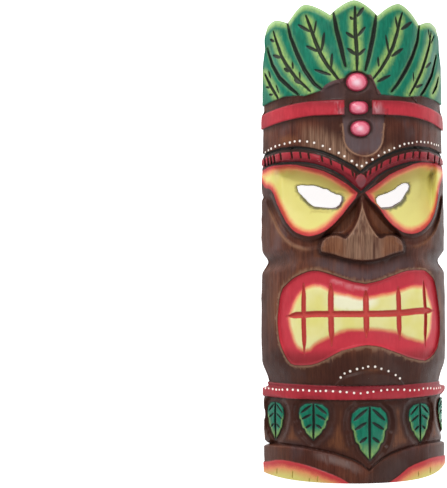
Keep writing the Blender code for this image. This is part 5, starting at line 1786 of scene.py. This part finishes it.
class PaintShop:
    """Makes the mask's materials from its finishes."""

    def __init__(self) -> None:
        """Builds the shared effects and lists the finishes."""
        self.fibres = WoodFibres().tree
        self.edge = HandEdge().tree
        self.brushed = BrushedPaint().tree
        self.spray = Airbrush().tree
        self.dots = DotRow().tree
        self.stain, self.grain = StainedWood(), StreakedGrain()
        self.leaf, self.red = LeafPaint(), RedPaint()
        self.yellow, self.bead, self.dot = SprayedYellow(), BeadPaint(), DotPaint()

    def mask(self, w: Wiring, name: str, softness: float, waver: float = 0.5) -> Socket:
        """The area of a paint, from its field."""
        inputs = {"Field": w.field(name), "Softness": softness, "Waver": waver}
        return w.group(self.edge, inputs).outputs["Mask"]

    def grained(self, w: Wiring, dark: Colour, light: Colour, fibres: tuple[float, float]):
        """The outputs of wood fibres in two tones, with their balance and contrast."""
        inputs = {"Dark": dark, "Light": light, "Balance": fibres[0], "Contrast": fibres[1]}
        return w.group(self.fibres, inputs).outputs

    def streaked(self, w: Wiring, paint: LeafPaint | RedPaint):
        """The outputs of a brushed paint."""
        inputs = {"Deep": paint.deep, "Bright": paint.bright, "Streaks": paint.streaks}
        return w.group(self.brushed, inputs).outputs

    def sprayed(self, w: Wiring, name: str, tones: tuple, widths: tuple[float, float]) -> Socket:
        """Three tones sprayed inward from a field's edge.

        Args:
            w: The material's wiring.
            name: The field.
            tones: The tones at the edge, in the middle and inside.
            widths: How far in the first and the second tone reach.

        Returns:
            The sprayed colour.
        """
        keys = ("Edge", "Middle", "Inner", "Edge width", "Middle width")
        inputs = {"Field": w.field(name), **dict(zip(keys, tones + widths))}
        return w.group(self.spray, inputs).outputs["Color"]

    def wood(self, w: Wiring) -> tuple[Socket, Socket]:
        """Stained wood with painted shade, warm painted highlights on its ridges, a painted sheen, streaked
        grain, and edges with wear and pale painted highlights.

        Args:
            w: The material's wiring.

        Returns:
            Colour and height.
        """
        stain, grain = self.stain, self.grain
        plain = self.grained(w, stain.dark, stain.light, stain.fibres)
        warm = self.grained(w, stain.warm_dark, stain.warm_light, stain.warm_fibres)["Color"]
        streaks = self.grained(w, grain.dark, grain.light, grain.fibres)["Color"]
        # Random patches of warm wood, of the sheen colour and of darker wood.
        colour = w.mix(w.times(w.mottle(stain.warm_patches), stain.warm_cover), plain["Color"], warm)
        colour = w.mix(w.mottle(stain.sheen_patches), colour, stain.painted_sheen)
        colour = w.mix(w.mottle(stain.dark_patches), colour, stain.shade)
        # Warm painted highlights, then the painted sheen of the lacquer.
        colour = w.mix(w.field("warm_highlight"), colour, warm)
        colour = w.mix(w.patchy("painted_sheen", stain.haze), colour, stain.painted_sheen)
        # Golden grain streaks, weaker under the warm painted highlights.
        ragged = w.times(w.patchy("grain", grain.ragged), w.rest(w.part("warm_highlight", grain.under_warm_highlight)))
        colour = w.mix(ragged, colour, streaks)
        # Painted shade, then pale painted highlights and wear on edges.
        colour = w.mix(w.patchy("shade", stain.smudged_shade), colour, stain.shade)
        return w.mix(w.patchy("wear_and_highlight", stain.rubbed_highlight), colour, stain.wear_and_highlight), plain["Height"]

    def foliage(self, w: Wiring, colour: Socket, green: Socket) -> tuple[Socket, Socket]:
        """Lays the black lines and the leaves over the wood.

        Args:
            w: The material's wiring.
            colour: What lies below.
            green: Colour of the brushed leaf paint.

        Returns:
            The new colour, and the leaves' area.
        """
        leaf = self.leaf
        line = w.rest(self.mask(w, "line", 0.6, 0.6))
        colour = w.mix(w.times(line, leaf.line_cover), colour, leaf.cut)
        on_leaf = self.mask(w, "leaf", 0.8, 1.0)
        paint = w.mix(w.patchy("fresh", leaf.speckle), green, leaf.fresh)
        # Pale painted highlight on the tips' edge, and painted shade on the leaves.
        paint = w.mix(w.times(w.field("wear_and_highlight"), on_leaf), paint, leaf.bevel)
        paint = w.mix(w.part("shade", leaf.shade_cover), paint, leaf.cut)
        vein = w.rest(self.mask(w, "vein", 0.5, 0.6))
        paint = w.mix(w.times(vein, leaf.vein_cover), paint, leaf.cut)
        return w.mix(on_leaf, colour, paint), on_leaf

    def bands(self, w: Wiring, colour: Socket, crimson: Socket) -> tuple[Socket, Socket]:
        """Lays the red bands and blocks over the colour.

        Args:
            w: The material's wiring.
            colour: What lies below.
            crimson: Colour of the brushed red paint.

        Returns:
            The new colour, and the red area.
        """
        red = self.red
        # Pink painted highlights, painted shade and the painted sheen on the red.
        paint = w.mix(w.patchy("wear_and_highlight", red.dry_highlight), crimson, red.wear_and_highlight)
        paint = w.mix(w.part("shade", red.shade_cover), paint, red.shaded_red)
        paint = w.mix(w.part("painted_sheen", red.sheen_cover), paint, self.stain.painted_sheen)
        on_red = self.mask(w, "red", 0.5)
        return w.mix(on_red, colour, paint), on_red

    def dishes(self, w: Wiring, colour: Socket) -> tuple[Socket, Socket]:
        """Lays the sprayed eyes and feet over the colour.

        Args:
            w: The material's wiring.
            colour: What lies below.

        Returns:
            The new colour, and their area.
        """
        yellow = self.yellow
        paint = self.sprayed(w, "warm", (yellow.edge, yellow.middle, yellow.inner), yellow.widths)
        # Olive painted shade, pale painted highlights, and dark painted shade round the eye holes.
        paint = w.mix(w.field("olive_shade"), paint, yellow.olive_shade)
        paint = w.mix(w.part("painted_sheen", yellow.sheen_cover), paint, yellow.pale)
        paint = w.mix(w.part("cavity_shade", yellow.cavity_cover), paint, yellow.smudged_shade)
        on_warm = self.mask(w, "warm", 0.5)
        return w.mix(on_warm, colour, paint), on_warm

    def mouth(self, w: Wiring, colour: Socket, crimson: Socket) -> tuple[Socket, Socket]:
        """Lays lips, teeth and their cuts over the colour.

        Args:
            w: The material's wiring.
            colour: What lies below.
            crimson: Colour of the brushed red paint.

        Returns:
            The new colour, and the lips' area.
        """
        red, yellow = self.red, self.yellow
        on_lips = self.mask(w, "lips", 0.5)
        lips = w.mix(red.lip_cover, crimson, red.lips)
        # Painted highlight and painted shade on the lips.
        lips = w.mix(w.part("painted_sheen", red.lip_highlight), lips, red.wear_and_highlight)
        lips = w.mix(w.part("shade", red.lip_shade), lips, self.stain.shade)
        colour = w.mix(on_lips, colour, lips)
        # Teeth in their own cream tone, paler where a painted reflection falls.
        enamel = w.mix(w.math("MAXIMUM", w.mottle(yellow.cream), w.field("painted_sheen")), yellow.inner, yellow.pale)
        teeth = self.sprayed(w, "teeth", (red.bright, yellow.middle, enamel), yellow.tooth_widths)
        colour = w.mix(self.mask(w, "teeth", 0.5), colour, teeth)
        groove = w.mix(self.mask(w, "bite", 0.7, 0.6), red.groove, self.stain.shade)
        return w.mix(w.rest(self.mask(w, "bite", 0.5, 0.6)), colour, groove), on_lips

    def beads(self, w: Wiring, colour: Socket) -> tuple[Socket, Socket]:
        """Lays the pink beads over the colour.

        Args:
            w: The material's wiring.
            colour: What lies below.

        Returns:
            The new colour, and their area.
        """
        bead = self.bead
        on_bead = self.mask(w, "bead", 0.4)
        pink = self.sprayed(w, "bead", (bead.edge, bead.middle, bead.inner), bead.widths)
        return w.mix(on_bead, colour, pink), on_bead

    def dotted(self, w: Wiring, colour: Socket) -> Socket:
        """The colour with the rows of white dots over it."""
        for name in Brushwork.DOTS:
            inputs = {"Row": w.field(name, "Vector"), "Radius": self.dot.radius}
            colour = w.mix(w.group(self.dots, inputs).outputs["Mask"], colour, self.dot.colour)
        return colour

    def painted(self) -> bpy.types.Material:
        """The whole painted front under one coat of lacquer."""
        material, w, shader = new_material("painted_wood")
        coat = Lacquer()
        green, crimson = self.streaked(w, self.leaf), self.streaked(w, self.red)["Color"]
        colour, fibre = self.wood(w)
        colour, on_leaf = self.foliage(w, colour, green["Color"])
        colour, on_red = self.bands(w, colour, crimson)
        colour, on_warm = self.dishes(w, colour)
        colour, on_lips = self.mouth(w, colour, crimson)
        colour, on_bead = self.beads(w, colour)
        w.feed(shader.inputs["Base Color"], self.dotted(w, colour))
        w.feed(shader.inputs["Roughness"], w.plus(coat.roughness, w.mottle(coat.mottle)))
        w.feed(shader.inputs["Coat Weight"], w.plus(coat.coat, w.times(on_bead, coat.bead_coat)))
        shader.inputs["Coat Roughness"].default_value = coat.coat_roughness
        shader.inputs["Specular IOR Level"].default_value = coat.specular
        paint = w.math("MAXIMUM", w.math("MAXIMUM", on_leaf, on_red), w.math("MAXIMUM", on_warm, on_lips))
        streak = w.times(w.times(green["Height"], coat.streak_height), paint)
        fibre = w.times(fibre, w.rest(w.times(paint, coat.hidden_fibres)))
        w.bump(shader, *coat.bump, w.plus(fibre, streak))
        return material

    def bare(self) -> bpy.types.Material:
        """Raw gouged wood behind."""
        raw = BareWood()
        material, w, shader = new_material("bare_wood")
        fibres = self.grained(w, raw.dark, raw.light, raw.fibres)
        w.feed(shader.inputs["Base Color"], w.mix(w.mottle(raw.dust), fibres["Color"], raw.dark))
        shader.inputs["Roughness"].default_value = raw.roughness
        w.bump(shader, *raw.bump, fibres["Height"])
        return material


@dataclass
class Studio:
    """Pale floor, soft light, and the camera over the lying mask."""

    focus_px: float = 1393.0
    frame_px: tuple[int, int] = (447, 488)
    sensor_mm: float = 36.0
    eye: tuple[float, float, float] = (-0.2362, -0.0020, 1.4878)
    turn_deg: float = 3.7156
    roll_deg: float = 0.36
    floor_size: float = 24.0
    floor_colour: Colour = (0.93, 0.93, 0.93)
    floor_glow: float = 0.90
    overhead: float = 0.24
    horizon: float = 0.50
    horizon_top: float = 0.9
    floor_drop: float = 0.0002
    floor_roughness: float = 0.9
    lights: tuple[tuple[str, Colour, float, float], ...] = (
        ("soft_key", (-0.7, 1.5, 1.5), 1.2, 36.0), ("soft_fill", (1.1, -0.9, 1.5), 1.4, 15.0))

    def camera(self) -> bpy.types.Object:
        """The camera at the photograph's place over the mask."""
        data = bpy.data.cameras.new("photograph")
        data.sensor_width = self.sensor_mm
        data.lens = self.sensor_mm * self.focus_px / max(self.frame_px)
        camera = bpy.data.objects.new("photograph", data)
        turn, roll = math.radians(self.turn_deg), math.radians(self.roll_deg)
        ahead = Vector((math.sin(turn), 0.0, -math.cos(turn)))
        across = ahead.cross(Vector((0.0, 1.0, 0.0))).normalized()
        up = across.cross(ahead)
        up = up * math.cos(roll) + across * math.sin(roll)
        across = ahead.cross(up)
        place = Matrix((across, up, -ahead)).transposed().to_4x4()
        place.translation = Vector(self.eye)
        camera.matrix_world = place
        bpy.context.scene.collection.objects.link(camera)
        bpy.context.scene.camera = camera
        return camera

    def floor(self) -> bpy.types.Object:
        """A plain pale floor under the mask."""
        bm = bmesh.new()
        bmesh.ops.create_grid(bm, x_segments=1, y_segments=1, size=self.floor_size / 2.0)
        floor = new_object("floor", bm)
        floor.location.z = -self.floor_drop
        material, _, shader = new_material("pale_floor")
        shader.inputs["Base Color"].default_value = (*self.floor_colour, 1.0)
        shader.inputs["Roughness"].default_value = self.floor_roughness
        shader.inputs["Emission Color"].default_value = (1.0, 1.0, 1.0, 1.0)
        shader.inputs["Emission Strength"].default_value = self.floor_glow
        floor.data.materials.append(material)
        return floor

    def light(self, name: str, place: Vector, size: float, power: float) -> bpy.types.Object:
        """A soft square light aimed at the mask."""
        data = bpy.data.lights.new(name, "AREA")
        data.size = size
        data.energy = power
        light = bpy.data.objects.new(name, data)
        light.location = place
        light.rotation_euler = (-place).to_track_quat("-Z", "Y").to_euler()
        bpy.context.scene.collection.objects.link(light)
        return light

    def surroundings(self) -> bpy.types.World:
        """White surroundings, brighter near the horizon than overhead."""
        world = bpy.data.worlds.new("studio")
        world.use_nodes = True
        w = Wiring(world.node_tree)
        background = world.node_tree.nodes["Background"]
        place = w.add("ShaderNodeTexCoord").outputs["Generated"]
        height = w.add("ShaderNodeSeparateXYZ", {0: place}).outputs["Z"]
        background.inputs["Color"].default_value = (1.0, 1.0, 1.0, 1.0)
        strength = w.grade(height, 0.0, self.horizon_top, self.horizon, self.overhead)
        w.feed(background.inputs["Strength"], strength)
        bpy.context.scene.world = world
        return world

    def build(self) -> None:
        """Sets up floor, lights, surroundings and camera."""
        self.floor()
        for name, place, size, power in self.lights:
            self.light(name, Vector(place), size, power)
        self.surroundings()
        bpy.context.scene.view_settings.view_transform = "Standard"
        self.camera()


def main() -> None:
    """Builds the mask and the studio, and reports each piece."""
    logging.basicConfig(level=logging.INFO, format="%(message)s")
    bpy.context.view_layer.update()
    low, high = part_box(NODE)
    blank = Blank(length=high[1] - low[1])
    mask = CarvedBody(blank).build()
    shop = PaintShop()
    mask.data.materials.clear()
    for material in (shop.painted(), shop.bare()):
        mask.data.materials.append(material)
    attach(mask, BODY)
    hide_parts(NODE)
    log.info("%s: %d faces, %d points", mask.name, len(mask.data.polygons), len(mask.data.vertices))
    Studio().build()
    log.info("studio: floor, two soft lights and the camera")


if __name__ == "__main__":
    main()
